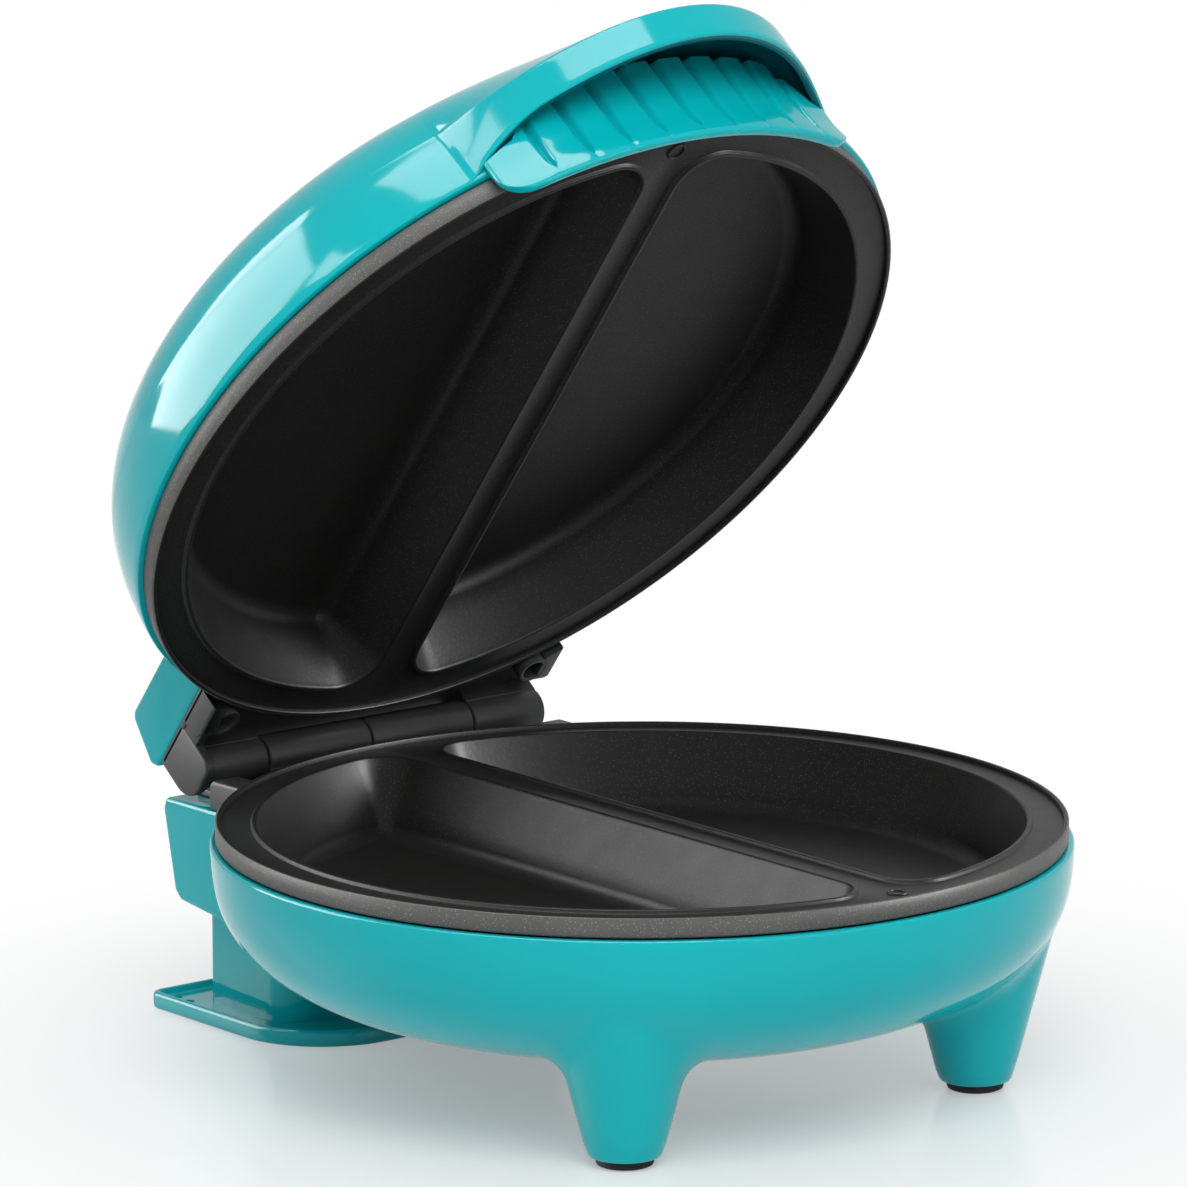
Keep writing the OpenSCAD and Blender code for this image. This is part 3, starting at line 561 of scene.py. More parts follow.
# %% Block and pillar
block_x, block_y = 57.0, 126.0
pillar_x, pillar_front, pillar_y = 47.5, 86.0, 120.0
block_low, foot_t = 29.0, 2.8
block_top = hinge_z - 8.5
block_outline = [(88, block_low - 1.5), (block_y - 7, block_low + 2.2),
                 (block_y - 4.6, block_low + 4.6), (block_y, block_top - 3),
                 (block_y - 1.2, block_top), (88, block_top)]


def rounded_plan(x, y0, y1, front_r, rear_r, inset=0.0, steps=10):
    """Outline of a plate that is rounded by one radius in front and another behind."""
    points = []
    for side, centre_y, r, first in (
            (1, y0 + front_r, front_r, -90), (1, y1 - rear_r, rear_r, 0),
            (-1, y1 - rear_r, rear_r, 90), (-1, y0 + front_r, front_r, 180)):
        for k in range(steps + 1):
            a = radians(first + 90.0 * k / steps)
            points.append((side * (x - r) + (r - inset) * cos(a), centre_y + (r - inset) * sin(a)))
    return points


block = prism("block", block_outline, -block_x, block_x, bevel=1.1, segments=4)
pillar_plan = rounded_plan(pillar_x, pillar_front, pillar_y, 9, 3)
pillar = make_mesh("pillar", *ring_faces([[(x, y, z) for x, y in pillar_plan]
                                          for z in (foot_t, block_low + 6)]))
clear_shell((block, pillar), up=False)
rear_column = join("column", [block, pillar])
finish_piece(rear_column, "base", ["rear_column"], teal)

# %% [markdown]
# ## The rear foot
# The foot is a thin plate with a raised edge, wide corners in front and tight ones
# behind. It is drawn as a stack of its own outline, each ring drawn in or out a little,
# which rounds the edge and leaves the tray inside it.

# %% Foot plate
foot_front, foot_rear = 65.5, 133.5
front_corner, rear_corner = 26, 3.5
edge_z = foot_t + 1.6
foot_levels = [(1.2, 0.0), (0.5, 0.15), (0.1, 0.6), (0.0, 1.2), (0.0, edge_z - 0.9),
               (0.25, edge_z - 0.3), (0.8, edge_z), (1.3, edge_z), (1.8, edge_z - 0.3),
               (2.1, foot_t + 0.7), (2.5, foot_t + 0.15), (3.1, foot_t)]
foot = make_mesh("foot_plate", *ring_faces([
    [(x, y, z) for x, y in rounded_plan(block_x, foot_front, foot_rear, front_corner, rear_corner,
                                        inset, 14)]
    for inset, z in foot_levels]))

# %% Two dimples in each rear corner, and a screw hole on each side of the pillar
holes = [(1.6, 1.9, 6, 20, s * x, y) for s in (-1, 1) for x, y in ((52, 128), (52, 122.5))]
holes += [(3.3, -1, 1.6, 24, s * 38, 94.5) for s in (-1, 1)]
drill(foot, holes)
sharpen(foot, 40)
finish_piece(foot, "base", ["rear_foot"], teal)

# %% [markdown]
# ## The cooking plates
# A plate is one casting: a rim lip, a flat channel, a bead round each half-moon well and
# the wells themselves, whose walls lean in and turn into the floor in a soft curve. The
# half-moon outline is the same at every level and is only drawn in, so each well is a
# stack of such outlines. The channel is the stretch between the outermost outline, which
# is half of the rim circle, and the foot of the bead. A plainer stack, one wall lower,
# makes the underside.

# %% Half-moon outline
well_r, divider_w, well_corner = 96.5, 11.8, 10.0
well_depth, well_draft, floor_corner = 20.0, 8.0, 2.2
lip_w, lip_h, bead_w, plate_wall, wall_lean = 1.3, 1.2, 1.5, 2.0, 23
arc_steps, corner_steps, line_steps = 84, 10, 24


def half_moon(inset, z):
    """The outline on the +X side, from the front corner round the rim to the rear."""
    arc_r, small = well_r - inset, max(well_corner - inset, floor_corner)
    corner_x = divider_w / 2 + inset + small
    corner_y = sqrt((arc_r - small) ** 2 - corner_x ** 2)
    sweep = atan2(corner_y, corner_x)
    points = []
    for k in range(arc_steps + 1):
        a = -sweep + 2 * sweep * k / arc_steps
        points.append((arc_r * cos(a), arc_r * sin(a), z))
    for k in range(1, corner_steps + 1):
        a = sweep + (pi - sweep) * k / corner_steps
        points.append((corner_x + small * cos(a), corner_y + small * sin(a), z))
    for k in range(1, line_steps):
        points.append((corner_x - small, corner_y * (1 - 2 * k / line_steps), z))
    for k in range(corner_steps):
        a = -pi + (pi - sweep) * k / corner_steps
        points.append((corner_x + small * cos(a), -corner_y + small * sin(a), z))
    return points


def half_rim(r, z):
    """Half of a circle of radius r and the centre line, point for point."""
    angles = [-pi / 2 + pi * k / arc_steps for k in range(arc_steps + 1)]
    return ([(r * cos(a), r * sin(a), z) for a in angles]
            + [(0.0, max(min(y * r / (well_r - 2), r), -r), z)
               for _, y, _ in half_moon(0, 0)[arc_steps + 1:]])


# %% Stack the outlines into a plate
def plate_mesh(name, on_lid):
    """A plate with its rim plane at z 0, turned over and lifted for the lid."""
    depth, low, rim = well_depth - lip_h, -lip_h, plate_r
    wall_in, wall_down = 0.74 * well_draft, 0.76 * depth
    levels = [(-bead_w - 0.25, low), (-bead_w, low + 0.12), (-bead_w + 0.1, low + 0.75),
              (-bead_w + 0.3, low + 0.95), (-bead_w + 0.55, low + 1.0), (-0.45, low + 1.0),
              (-0.2, low + 0.93), (0.0, low + 0.72), (0.15, low + 0.2), (0.5, low - 0.8)]
    for k in range(1, 5):
        levels.append((0.5 + (wall_in - 0.5) * k / 4, low - 0.8 - (wall_down - 0.8) * k / 4))
    for k in range(1, 9):
        a = radians(90.0 * k / 8)
        levels.append(((0.74 + 0.56 * (1 - cos(a))) * well_draft,
                       low - depth * (0.76 + 0.24 * sin(a))))
    under = [(-plate_wall - 0.6, low - plate_wall), (-plate_wall - 0.1, low - plate_wall - 0.3)]
    for k, (inset, z) in enumerate(levels[-13:]):
        lean = radians(wall_lean + (90 - wall_lean) * max(k - 4, 0) / 8)
        under.append((inset - plate_wall * cos(lean), z - plate_wall * sin(lean)))
    points, faces = [], []
    for edge_r, rows in ((rim - lip_w, levels), (rim - 2, under)):
        half = [half_rim(edge_r, rows[0][1])] + [half_moon(inset, z) for inset, z in rows]
        floor = half[-1]
        cx = sum(p[0] for p in floor) / len(floor)
        for share in (0.8, 0.55, 0.3, 0.0):
            half.append([(cx + (x - cx) * share, y * share, z) for x, y, z in floor])
        for s in (1, -1):
            part, quads = ring_faces([[(s * x, y, z) for x, y, z in ring] for ring in half],
                                     caps=False)
            faces += [tuple(i + len(points) for i in quad) for quad in quads]
            points += part
    lip_rows = [(rim - lip_w, low), (rim - lip_w + 0.02, -0.35), (rim - lip_w + 0.12, -0.1),
                (rim - lip_w + 0.32, 0.0), (rim - 0.4, 0.0), (rim - 0.15, -0.08), (rim, -0.3),
                (rim, -skirt_h + 0.5), (rim - 0.2, -skirt_h + 0.1), (rim - 0.7, -skirt_h),
                (rim - 2, -skirt_h), (rim - 2, low - plate_wall)]
    angles = [-pi / 2 + pi * k / arc_steps for k in range(2 * arc_steps)]
    lip, quads = ring_faces([[(r * cos(a), r * sin(a), z) for a in angles] for r, z in lip_rows],
                            caps=False)
    faces += [tuple(i + len(points) for i in quad) for quad in quads]
    points += lip
    if on_lid:
        points = [(x, y, lid_z - z) for x, y, z in points]
    else:
        points = [(x, y, rim_z + z) for x, y, z in points]
    return make_mesh(name, points, faces, on_lid=on_lid, weld=0.02, smooth_angle=60)


# %% The round mark of an ejector pin at the front end of the divider
mark_y, mark_r, mark_thick = -98.6, 2.3, 0.4


def pin_mark(on_lid):
    flip, base = (-1, lid_z) if on_lid else (1, rim_z)
    level = base - flip * (lip_h - 0.12)
    rows = [(mark_r + mark_thick * cos(radians(b)), level + flip * mark_thick * sin(radians(b)))
            for b in range(0, 360, 36)]
    return turned("mark", rows + rows[:1], 32, (0, mark_y), on_lid=on_lid)


# %% Both plates, with a lighter coat on the lip's outer edge
plates = []
for body, name, node in (("base", "lower_cooking_plate", "lower_plate"),
                         ("lid", "upper_cooking_plate", "upper_plate")):
    plate = join(name, [plate_mesh("part", body == "lid"), pin_mark(body == "lid")])
    finish_piece(plate, body, [node], coating)
    plate.data.materials.append(edge_coating)
    turn_back = lid_swing.inverted() if body == "lid" else Matrix()
    for face in plate.data.polygons:
        spot = turn_back @ (face.center / MM)
        face.material_index = 1 if hypot(spot.x, spot.y) > plate_r - 0.3 else 0
    plates.append(plate)

# %% [markdown]
# ## The lid
# The dome flows into a visor at the front, and the fingers go under it. Dome and visor
# are one surface, so they are drawn as one: for each direction round the centre there is
# a profile from the crown outward, over the visor, down its band, back under it to the
# dome and down to the rim. Where the visor ends, the stretch below it shrinks to nothing.

# %% Dome and visor sizes
visor_y, visor_curve = 131.0, 0.0093
visor_low, visor_high, end_rise = lid_z + 9.9, lid_z + 19.4, 4.3
visor_wall = 2.6
visor_end, lip_end = radians(32.2), radians(31.9)
crown_r = 84.0
dome_rim = lid_z + skirt_h + seam
grip_r = 112.6
grip_top = lid_z + 20.5


def dome_radius(z):
    n, m = dome_power
    return housing_r * (1 - min(max((z - lid_z) / dome_h, 0), 1) ** m) ** (1 / n)


def dome_top(r):
    return lid_z + shell_height(r, housing_r, dome_h, dome_power)


def visor_radius(a):
    """Distance from the centre to the visor's front, a parabola, at an angle from -Y."""
    c, k = cos(a), visor_curve * sin(a) * sin(a)
    if k < 1e-9:
        return visor_y / c
    return (-c + sqrt(c * c + 4 * k * visor_y)) / (2 * k)


def smooth_step(t):
    t = min(max(t, 0), 1)
    return t * t * (3 - 2 * t)


# %% The band's edges and face
end_radius = visor_radius(visor_end)


def band_radius(a, z):
    """The visor's front face. At the visor's end it lies on the dome, along a crease."""
    if abs(a) >= visor_end:
        return dome_radius(z)
    share = abs(a / visor_end) ** 2.14
    return max(visor_radius(a) + (dome_radius(z) - end_radius) * share, dome_radius(z))


def band_low(a):
    """Height of the band's lower edge, which drops to the dome's rim at its end."""
    middle = visor_low + 1.2 * min((a / radians(20.6)) ** 2, 1)
    near = min(max((lip_end - abs(a)) / radians(11.3), 0), 1)
    return dome_rim + 0.5 + (middle - dome_rim - 0.5) * sin(pi / 2 * near)


def band_high(a):
    return visor_high + end_rise * min((a / visor_end) ** 2, 1)


# %% Profile of the lid in one direction
def lid_profile(a):
    """Radius and height from the crown to the rim at an angle from -Y."""
    low_z, high_z = band_low(a), band_high(a)
    crown_z = dome_top(crown_r)
    rows = [(r, dome_top(r)) for r in (crown_r * sin(radians(3.0 * k)) for k in range(30))]
    edge_z, edge_r = high_z + 0.5, band_radius(a, high_z)
    extra = edge_r - 0.5 * min(edge_r - dome_radius(edge_z), 1.0) - dome_radius(edge_z)
    m = dome_power[1]
    t_crown = asin(((crown_z - lid_z) / dome_h) ** (m / 2))
    t_edge = asin(((edge_z - lid_z) / dome_h) ** (m / 2))
    for k in range(31):
        t = t_crown + (t_edge - t_crown) * k / 30
        z = lid_z + dome_h * sin(t) ** (2 / m)
        q = (z - edge_z) / (crown_z - edge_z)
        rows.append((dome_radius(z) + extra * (1 - q) ** 1.6, z))
    proud = max(band_radius(a, low_z) - dome_radius(low_z), 0.0)
    stand = min(proud, 1.0)
    lip_z = low_z + 0.6 * stand
    rows.append((edge_r - 0.12 * stand, high_z + 0.15))
    for k in range(9):
        z = high_z + (lip_z - high_z) * (k + 0.4) / 8.4
        back = 0.6 * (high_z - z) / (high_z - low_z)
        rows.append((max(band_radius(a, z) - back * stand, dome_radius(z)), z))
    low_r = max(band_radius(a, low_z) - 0.6 * stand, dome_radius(low_z))
    lip_in = min(visor_wall, max(low_r - dome_radius(low_z), 0.0))
    rows += [(low_r - 0.08 * lip_in, low_z + 0.2 * stand), (low_r - 0.3 * lip_in, low_z),
             (low_r - 0.75 * lip_in, low_z), (low_r - 0.95 * lip_in, low_z + 0.15 * stand),
             (low_r - lip_in, lip_z)]
    start_r = low_r - lip_in
    room = max(start_r - dome_radius(low_z), 0.0)
    ceiling_z = lip_z + min(room * 0.9, high_z - low_z - 2.0)
    roof_z = lip_z + min(room * 1.3, high_z - low_z + 5.0)
    wall_r = min(dome_radius(roof_z), start_r)
    for k in range(1, 5):
        rows.append((start_r, lip_z + (ceiling_z - lip_z) * k / 4))
    for k in range(1, 13):
        t = pi / 2 * k / 12
        rows.append((start_r + (wall_r - start_r) * (1 - cos(t)),
                     ceiling_z + (roof_z - ceiling_z) * sin(t)))
    for k in range(1, 13):
        z = roof_z + (dome_rim + 0.5 - roof_z) * k / 12
        rows.append((dome_radius(z), z))
    rim_r = dome_radius(dome_rim)
    rows += [(rim_r - 0.15, dome_rim + 0.15), (rim_r - 0.5, dome_rim),
             (rim_r - wall + 0.4, dome_rim)]
    inner = shell_outline(housing_r - wall, dome_h - wall, dome_power, 20)
    return rows + [(r, lid_z + z) for r, z in inner if lid_z + z > dome_rim + 0.3]


# %% Directions crowd together where the visor ends
def lid_directions():
    fixed = sorted({-degrees(visor_end), -degrees(lip_end), degrees(lip_end), degrees(visor_end)})
    steps, a = [], -180.0
    while a < 180.0 - 1e-6:
        if all(abs(a - b) > 0.2 for b in fixed):
            steps.append(a)
        near = abs(abs(a) - degrees(lip_end))
        a += 0.25 if near < 2.5 else (0.5 if near < 7 else (1.0 if abs(a) < 60 else 2.0))
    return [radians(a) for a in sorted(steps + fixed)]


columns = [[(r * sin(a), -r * cos(a), z) for r, z in lid_profile(a)] for a in lid_directions()]
lid_rings = [[column[k] for column in columns] for k in range(len(columns[0]))]
lid_shell = make_mesh("lid_dome", *ring_faces(lid_rings, caps=False), on_lid=True, smooth_angle=38,
                      weld=0.02)
print("lid shell: %d directions, %d rows" % (len(columns), len(lid_rings)))

# %% Lens holes in the crown
lens_x, lens_y, lens_r = 12.0, 40.0, 4.5
crown_top = lid_z + dome_h
drill(lid_shell, [(lens_r - 0.5, crown_top - 8, crown_top + 4, 32, s * lens_x, -lens_y)
                  for s in (-1, 1)], on_lid=True)
sharpen(lid_shell, 38)
finish_piece(lid_shell, "lid", ["upper_housing"], teal)

# %% Painted shade in the finger space: the faces under the visor get a dark teal that stands in for the hollow's shadow
lid_shell.data.materials.append(recess_shade_teal)
shut = lid_swing.inverted()
for face in lid_shell.data.polygons:
    spot, out = shut @ (face.center / MM), shut.to_3x3() @ face.normal
    angle, reach = atan2(spot.x, -spot.y), hypot(spot.x, spot.y)
    under_visor = abs(angle) < lip_end and dome_rim + 1 < spot.z < visor_high + 10
    if under_visor and dome_radius(spot.z) - 1 < reach < band_radius(angle, spot.z) - 1.5:
        outward = (out.x * spot.x + out.y * spot.y) / reach
        if outward < 0.2 and out.z < 0.3:
            face.material_index = 1

# %% [markdown]
# ## The fluted grip
# A separate moulding lines the finger space. Upright V-grooves cut it into narrow panels
# that the fingers can pull on, and its lower lip hangs over the rims of both plates. It
# is a bent sheet: an angle and a height give each point, and the grooves push it in.

# %% Sizes of the grip and its grooves
groove_count, groove_step, groove_half, groove_deep, groove_soft = 9, 10.6, 1.75, 2.5, 0.46
grip_half, grip_shift, grip_corner = 57.0, -1.6, 8.0
grip_low = lid_z - 6.0
groove_tip = grip_low + 1.9


def groove_share(z):
    """A groove runs out in a point near the lip and opens steadily above it."""
    up = z - groove_tip
    if up <= 0:
        return 0.0
    return min(0.50 * smooth_step(up / 3.5) + 0.50 * min(up / 20.0, 1.0), 1.0)


def groove_cut(u):
    """Depth of a V-groove with rounded edges, for an opening of one unit."""
    soft, u = groove_soft, abs(u)
    if u >= 1 + soft:
        return 0.0
    if u > 1 - soft:
        return (1 + soft - u) ** 2 / (4 * soft)
    return 1 - max(u, 0.5 * (u * u / 0.1 + 0.1)) if u < 0.1 else 1 - u


# %% Columns of the grip, crowded at the grooves' edges
near_groove = [0.0, 0.05, 0.1, 0.32, 0.54, 0.64, 0.74, 0.84, 0.94, 1.04, 1.14, 1.24, 1.35, 1.46]
end_shares = (0.25, 0.5, 0.7, 0.82, 0.88, 0.92, 0.95, 0.97, 0.985, 1.0)
last = (groove_count - 1) / 2 * groove_step
grip_slots = [(-last, None, -share) for share in reversed(end_shares)]
for g in range(groove_count):
    middle = (g - (groove_count - 1) / 2) * groove_step
    grip_slots += [(middle, u, None) for u in sorted({-u for u in near_groove} | set(near_groove))]
    if g < groove_count - 1:
        grip_slots += [(middle, None, share) for share in (0.2, 0.4, 0.6, 0.8)]
grip_slots += [(last, None, share) for share in end_shares]


def slot_place(slot, z):
    """Distance along the grip and groove depth for one column at one height."""
    middle, u, share = slot
    open_by = max(groove_share(z), 0.02)
    if u is not None:
        return (grip_shift + middle + u * groove_half * open_by,
                groove_deep * open_by * groove_cut(u))
    edge = near_groove[-1] * groove_half * open_by
    if share < 0 or middle == last:
        reach = (edge + (grip_half - last - edge) * abs(share)) * (1 if share > 0 else -1)
    else:
        reach = edge + (groove_step - 2 * edge) * share
    return grip_shift + middle + reach, 0.0


def grip_radius(x, z, cut_in):
    swell = 1.2 * (1 - smooth_step((z - grip_low) / 11.0))
    edge_side = max(0.0, abs(x - grip_shift) - grip_half + 1.0)
    edge_low = max(0.0, grip_low + 0.8 - z)
    return grip_r - 1.2 + swell - cut_in - 0.5 * edge_side ** 2 - 0.9 * edge_low ** 2


def grip_bottom(x):
    past = max(0.0, abs(x - grip_shift) - (grip_half - grip_corner))
    return grip_low + grip_corner - sqrt(max(grip_corner ** 2 - past ** 2, 0.0))


def grip_ceiling(x):
    """The grip ends below the hollow's roof, and lower where the visor comes close."""
    a = x / grip_r
    room = max(band_radius(a, band_low(a) + 2) - 0.8 - visor_wall - (grip_r - 1.2), 0.0)
    return min(band_low(a) - 0.6 + room * 1.6, grip_top)


grip_columns = []
for slot in grip_slots:
    x = slot_place(slot, grip_top)[0]
    low, high = grip_bottom(x), grip_ceiling(x)
    points = []
    for k in range(33):
        z = low + (high - low) * (k / 32) ** 1.3
        x, cut_in = slot_place(slot, z)
        r = grip_radius(x, z, cut_in)
        points.append((x, r, z))
    top_x, top_r = points[-1][:2]
    back = housing_r + 0.45
    points += [(top_x, top_r - 0.35, high + 0.25), (top_x, back, high + 0.25),
               (top_x, back, (low + high) / 2), (top_x, back + 0.4, max(low, dome_rim) + 0.2),
               (top_x, back + 0.9, low + 0.5), (top_x, back + 1.6, low + 0.05)]
    grip_columns.append([(r * sin(x / grip_r), -r * cos(x / grip_r), z) for x, r, z in points])
grip = make_mesh("fluted_grip", *ring_faces(grip_columns), on_lid=True, smooth_angle=50)
finish_piece(grip, "lid", ["handle_grip"], teal)

# %% [markdown]
# ## The lid's hinge block
# Behind the dome sits a block that mirrors the one on the column. Their rear corners
# meet when the lid is thrown right back, and that is the lid's stop.

# %% Upper block
up_low, up_high = hinge_z + 8.5, hinge_z + 24.5
upper_outline = [(90, up_low), (block_y - 1.2, up_low), (block_y + 0.4, up_low + 2.6),
                 (block_y - 3.6, up_high - 1.2), (block_y - 5.4, up_high), (90, up_high)]
upper_block = prism("lid_hinge_block", upper_outline, -block_x, block_x, bevel=1.0, on_lid=True,
                    segments=4)
clear_shell([upper_block], up=True)
finish_piece(upper_block, "lid", ["upper_hinge_block"], teal)

# %% [markdown]
# ## The hinge
# Both brackets are castings painted black. The base's bracket lies on the column, with two
# inner knuckles and a lug at each end. The lid's bracket has the two outer knuckles, an arm
# at each end and a deep cup for each screw. A cap closes its left end over the pin.

# %% Shared hinge sizes
knuckle_r, knuckle_x, knuckle_gap, pin_bore = 5.7, 33.5, 0.6, 2.6
bracket_t, bracket_front = 2.0, 90.0
inner_x, outer_x = knuckle_x - knuckle_gap / 2, knuckle_x + knuckle_gap / 2
knuckle_front = hinge_y - knuckle_r + 0.3
lug_x, lug_top = block_x - 9.0, hinge_z - 0.6
arm_x, arm_low, arm_high = block_x - 5.0, lid_z - 0.9, up_low - 0.2
cap_w = 3.0
cup_x, cup_y, cup_r = block_x - 6.7, bracket_front + 10.8, 4.4


# %% Shared hinge shapes
def side_box(y0, y1, z0, z1):
    return [(y0, z0), (y1, z0), (y1, z1), (y0, z1)]


def knuckle(x0, x1, on_lid=False):
    """A cylinder along X with rounded rims and a bore for the pin."""
    bevel, steps = 0.7, 48
    rows = [(x0, pin_bore), (x0, knuckle_r - bevel)]
    for k in range(1, 4):
        a = radians(30 * k)
        rows.append((x0 + bevel * (1 - cos(a)), knuckle_r - bevel + bevel * sin(a)))
    rows += [(x0 + x1 - x, r) for x, r in reversed(rows)]
    rings = [[(x, hinge_y + r * cos(2 * pi * i / steps), hinge_z + r * sin(2 * pi * i / steps))
              for i in range(steps)] for x, r in rows]
    return make_mesh("part", *ring_faces(rings + rings[:1], caps=False), on_lid=on_lid)


def clear_rims(parts, on_lid):
    """Cuts away the round space of the rims, which every hinge piece has to leave free."""
    rings = revolve([(housing_r + 1.0, -10), (housing_r + 1.0, 200)], 160)
    cutter = make_mesh("rim_cutter", *ring_faces(rings), on_lid=on_lid)
    for part in parts:
        cut(part, cutter)
        sharpen(part, 30)
    bpy.data.objects.remove(cutter)


# %% Base bracket
base_plate = prism("part", side_box(bracket_front, hinge_y + 5.6, block_top,
                                    block_top + bracket_t), -lug_x - 1, lug_x + 1, bevel=0.5)
lug_outline = [(bracket_front, block_top + 0.15), (hinge_y - 10.8, block_top + 0.15),
               (hinge_y - 10.8, lug_top - 1.2), (hinge_y - 12.0, lug_top), (bracket_front, lug_top)]
lugs, knuckles = [], []
for s in (-1, 1):
    low, high = sorted((s * block_x, s * lug_x))
    lugs.append(prism("part", lug_outline, low, high, bevel=0.8, segments=4))
    low, high = sorted((s * knuckle_gap / 2, s * inner_x))
    knuckles.append(knuckle(low, high))
    knuckles.append(prism("part", side_box(knuckle_front, hinge_y + knuckle_r - 0.3,
                                           block_top + 0.5, hinge_z - 2.0),
                          low + 0.05, high - 0.05, bevel=0.4))
clear_rims([base_plate] + lugs, False)
base_bracket = join("base_hinge_bracket", [base_plate] + lugs + knuckles)
finish_piece(base_bracket, "base", ["lower_hinge_bracket"], hinge_paint)


# %% Outline of the cap on the left end of the pin
def cap_outline():
    """Round below the pin, with a smaller toe in front, and upright above."""
    points = [(hinge_y + 6.0, arm_high), (hinge_y - 8.8, arm_high), (hinge_y - 8.8, hinge_z - 4.1)]
    for k in range(1, 7):
        a = radians(180 + 72 * k / 6)
        points.append((hinge_y - 5.4 + 3.4 * cos(a), hinge_z - 4.1 + 3.4 * sin(a)))
    for k in range(11):
        a = radians(252 + 108 * k / 10)
        points.append((hinge_y - 0.9 + 6.9 * cos(a), hinge_z - 0.6 + 6.9 * sin(a)))
    return points


# %% Lid bracket
lid_plate = prism("part", side_box(bracket_front, hinge_y + 5.0, up_low - bracket_t, up_low),
                  -block_x, block_x, bevel=0.5, on_lid=True)
arm_end = hinge_y - 10.1
arm_outline = [(bracket_front, arm_low), (arm_end - 2.4, arm_low), (arm_end - 0.7, arm_low + 0.7),
               (arm_end, arm_low + 2.4), (arm_end, arm_high), (bracket_front, arm_high)]
cup_rows = [(3.0, up_low - 0.6), (3.0, arm_low + 0.35), (3.1, arm_low + 0.1), (3.35, arm_low),
            (4.05, arm_low), (4.3, arm_low + 0.1), (cup_r, arm_low + 0.35), (cup_r, up_low - 0.6)]
arms, knuckles = [], []
for s in (-1, 1):
    low, high = sorted((s * outer_x, s * (block_x if s > 0 else block_x - cap_w)))
    knuckles.append(knuckle(low, high, on_lid=True))
    knuckles.append(prism("part", side_box(knuckle_front, hinge_y + 4, hinge_z + 2.0, arm_high),
                          low + 0.05, high - 0.05, bevel=0.5, on_lid=True))
    low, high = sorted((s * arm_x, s * block_x))
    arms.append(prism("part", arm_outline, low, high, bevel=0.7, on_lid=True, segments=4))
    knuckles.append(turned("part", cup_rows, 48, (s * cup_x, cup_y), on_lid=True))
web = prism("part", side_box(bracket_front, hinge_y, arm_low, arm_high), -block_x + 0.3,
            -block_x + cap_w, bevel=0.4, on_lid=True)
cap = prism("part", cap_outline(), -block_x, -block_x + cap_w, bevel=0.7, on_lid=True, segments=4)
clear_rims([lid_plate, web, cap] + arms, True)
lid_bracket = join("lid_hinge_bracket", [lid_plate, web, cap] + arms + knuckles)
finish_piece(lid_bracket, "lid", ["upper_hinge_bracket"], hinge_paint)

# %% [markdown]
# ## Lamp lenses
# Two small domed lenses sit in the crown. They stand half a millimetre proud, as pressed
# lenses do.

# %% Lenses
def lens_piece(name, s, node, material):
    rows = [(0.0, crown_top - 9), (lens_r - 0.7, crown_top - 9), (lens_r - 0.7, crown_top + 0.05),
            (lens_r, crown_top + 0.1)]
    for k in range(1, 9):
        a = radians(90.0 * k / 8)
        rows.append((lens_r * cos(a), crown_top + 0.1 + 0.85 * sin(a)))
    piece = turned(name, rows, 40, (s * lens_x, -lens_y), on_lid=True, smooth_angle=40)
    finish_piece(piece, "lid", [node], material)


lens_piece("power_lamp_lens", -1, "power_lens", red_lens)
lens_piece("ready_lamp_lens", 1, "ready_lens", green_lens)

# %% [markdown]
# ## Pieces that keep their CAD shape
# Screws, the hinge pin, the elements, shields, leads and switches are right as they are,
# so they only get their finish.

# %% Finishes for the CAD pieces
cad_finish = [
    (hinge_paint, "hinge_pin upper_hinge_screws"),
    (screw_metal, "lower_hinge_screws lower_plate_screws upper_plate_screws rear_foot_screws"),
    (tube_metal, "lower_element upper_element"), (sleeve_weave, "lower_wiring upper_wiring"),
    (sheet_metal, "lower_heat_shield upper_heat_shield thermal_fuse"),
    (glazed_clay, "terminal_block"), (brown_resin, "thermostat"), (pad_rubber, "cord_bush"),
    (lamp_glass, "indicator_lamps")]
for material, names in cad_finish:
    for name in names.split():
        mesh = frame["nodes"][name].data
        if not mesh.materials:
            mesh.materials.append(material)
        for k in range(len(mesh.materials)):
            mesh.materials[k] = material
    print("%-18s %s" % (material.name, names))

# %% [markdown]
# ## Floor, background and light
# The object stands on a white, slightly shiny table with nothing behind it. The floor is
# a plain diffuse sheet with a thin gloss, so it takes a soft shadow and a faint mirror
# image. Rays from the camera and from mirroring pieces see plain light surroundings, and
# the matt light comes from a dimmer sky.

# %% Rays that see the white surroundings
def math_node(tree, operation, first, second):
    node = add(tree, "Math", first, second)
    node.operation = operation
    return node.outputs["Value"]


def seen_by(tree, first, *others):
    """Is 1 for the named kinds of rays and 0 for all others."""
    path = add(tree, "LightPath")
    seen = path.outputs[first]
    for kind in others:
        seen = math_node(tree, "MAXIMUM", seen, path.outputs[kind])
    return seen


# %% Floor
floor_size, floor_z = 6.0, -0.0001
fade_from, fade_to, fade_least = 0.05, 0.27, 0.30


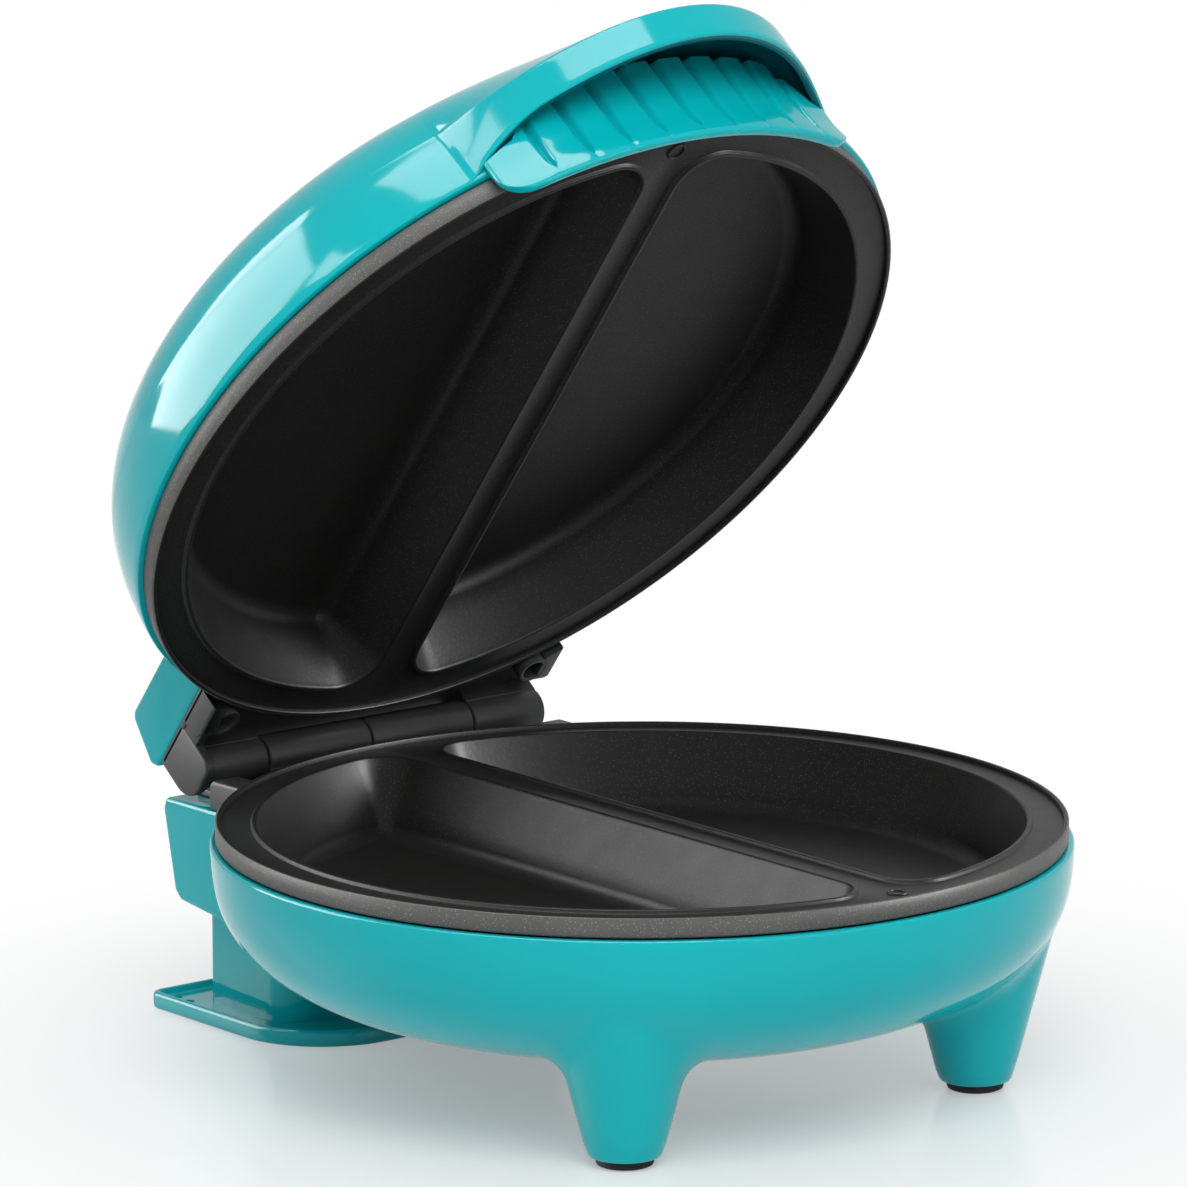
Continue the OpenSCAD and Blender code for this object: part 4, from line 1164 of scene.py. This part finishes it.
def floor_material():
    """A white sheet that turns into plain white away from the object."""
    material, tree, shader, place = start_material("white_table")
    shader.inputs["Base Color"].default_value = (0.88, 0.88, 0.88, 1)
    shader.inputs["Specular IOR Level"].default_value = 0.35
    tree.links.new(span(tree, noise(tree, place, 3), 0.16, 0.22), shader.inputs["Roughness"])
    distance = add(tree, "VectorMath", place)
    distance.operation = "LENGTH"
    fade = add(tree, "MapRange", distance.outputs["Value"], From_Min=fade_from, From_Max=fade_to,
               To_Min=fade_least)
    fade.interpolation_type = "SMOOTHSTEP"
    share = math_node(tree, "MULTIPLY", fade.outputs["Result"],
                      seen_by(tree, "Is Camera Ray", "Is Glossy Ray"))
    mix = add(tree, "MixShader", share, shader.outputs["BSDF"],
              add(tree, "Emission").outputs["Emission"])
    tree.links.new(mix.outputs["Shader"], tree.nodes["Material Output"].inputs["Surface"])
    return material


floor_mesh = bpy.data.meshes.new("table_top")
floor_mesh.from_pydata([(x * floor_size / 2, y * floor_size / 2, floor_z)
                        for x, y in ((-1, -1), (1, -1), (1, 1), (-1, 1))], [], [(0, 1, 2, 3)])
floor = bpy.data.objects.new("table_top", floor_mesh)
bpy.context.scene.collection.objects.link(floor)
floor_mesh.materials.append(floor_material())

# %% World
world = bpy.data.worlds.new("studio")
world.use_nodes = True
bpy.context.scene.world = world
tree = world.node_tree
tree.nodes.clear()
soft = add(tree, "Background", Color=(0.97, 0.99, 1.0, 1), Strength=0.55)
plain = add(tree, "Background", Strength=1.0)
seen = seen_by(tree, "Is Camera Ray", "Is Glossy Ray", "Is Transmission Ray")
mix = add(tree, "MixShader", seen, soft.outputs["Background"], plain.outputs["Background"])
add(tree, "OutputWorld", mix.outputs["Shader"])

# %% [markdown]
# ## Lamps
# Soft boxes stand where the highlights in the photograph say. The key light falls on matt
# surfaces only and the cards show as reflections only, so shade and shine are set apart.
# One more lamp lights the dark plates alone, as a studio does with a cutter.

# %% Soft boxes
def soft_box(name, bearing, rise, far, width, height, glow, matt=False, gloss=True):
    """A lamp seen from the object at a bearing from -Y towards +X and at a height angle."""
    a, b = radians(bearing), radians(rise)
    centre = Vector((0, 0, 0.10))
    light = bpy.data.lights.new(name, "AREA")
    light.shape = "RECTANGLE"
    light.size, light.size_y = width, height
    light.energy = glow * pi * width * height
    lamp = bpy.data.objects.new(name, light)
    lamp.location = centre + far * Vector((sin(a) * cos(b), -cos(a) * cos(b), sin(b)))
    lamp.rotation_mode = "QUATERNION"
    lamp.rotation_quaternion = (centre - lamp.location).to_track_quat("-Z", "Y")
    lamp.visible_diffuse, lamp.visible_glossy = matt, gloss
    bpy.context.scene.collection.objects.link(lamp)
    print("%-14s %.2f sr" % (name, width * height / far ** 2))
    return lamp


soft_box("key_light", -28, 48, 2.0, 1.3, 1.3, 5.2, matt=True, gloss=False)
soft_box("overhead_card", -102, 82, 2.0, 1.6, 1.3, 11)
soft_box("rear_left_card", -139, 20, 2.0, 1.5, 1.6, 13)
soft_box("left_card", -102, 40, 2.0, 0.6, 0.35, 12)
soft_box("front_strip", 4, 9, 2.0, 1.1, 0.26, 10)

# %% The plates' own lamp
plate_lamp = soft_box("plate_lamp", 42, 20, 1.6, 0.8, 0.7, 60)
lit = bpy.data.collections.new("lit_by_plate_lamp")
for piece in plates:
    lit.objects.link(piece)
plate_lamp.light_linking.receiver_collection = lit

bpy.context.scene.view_settings.view_transform = "Standard"
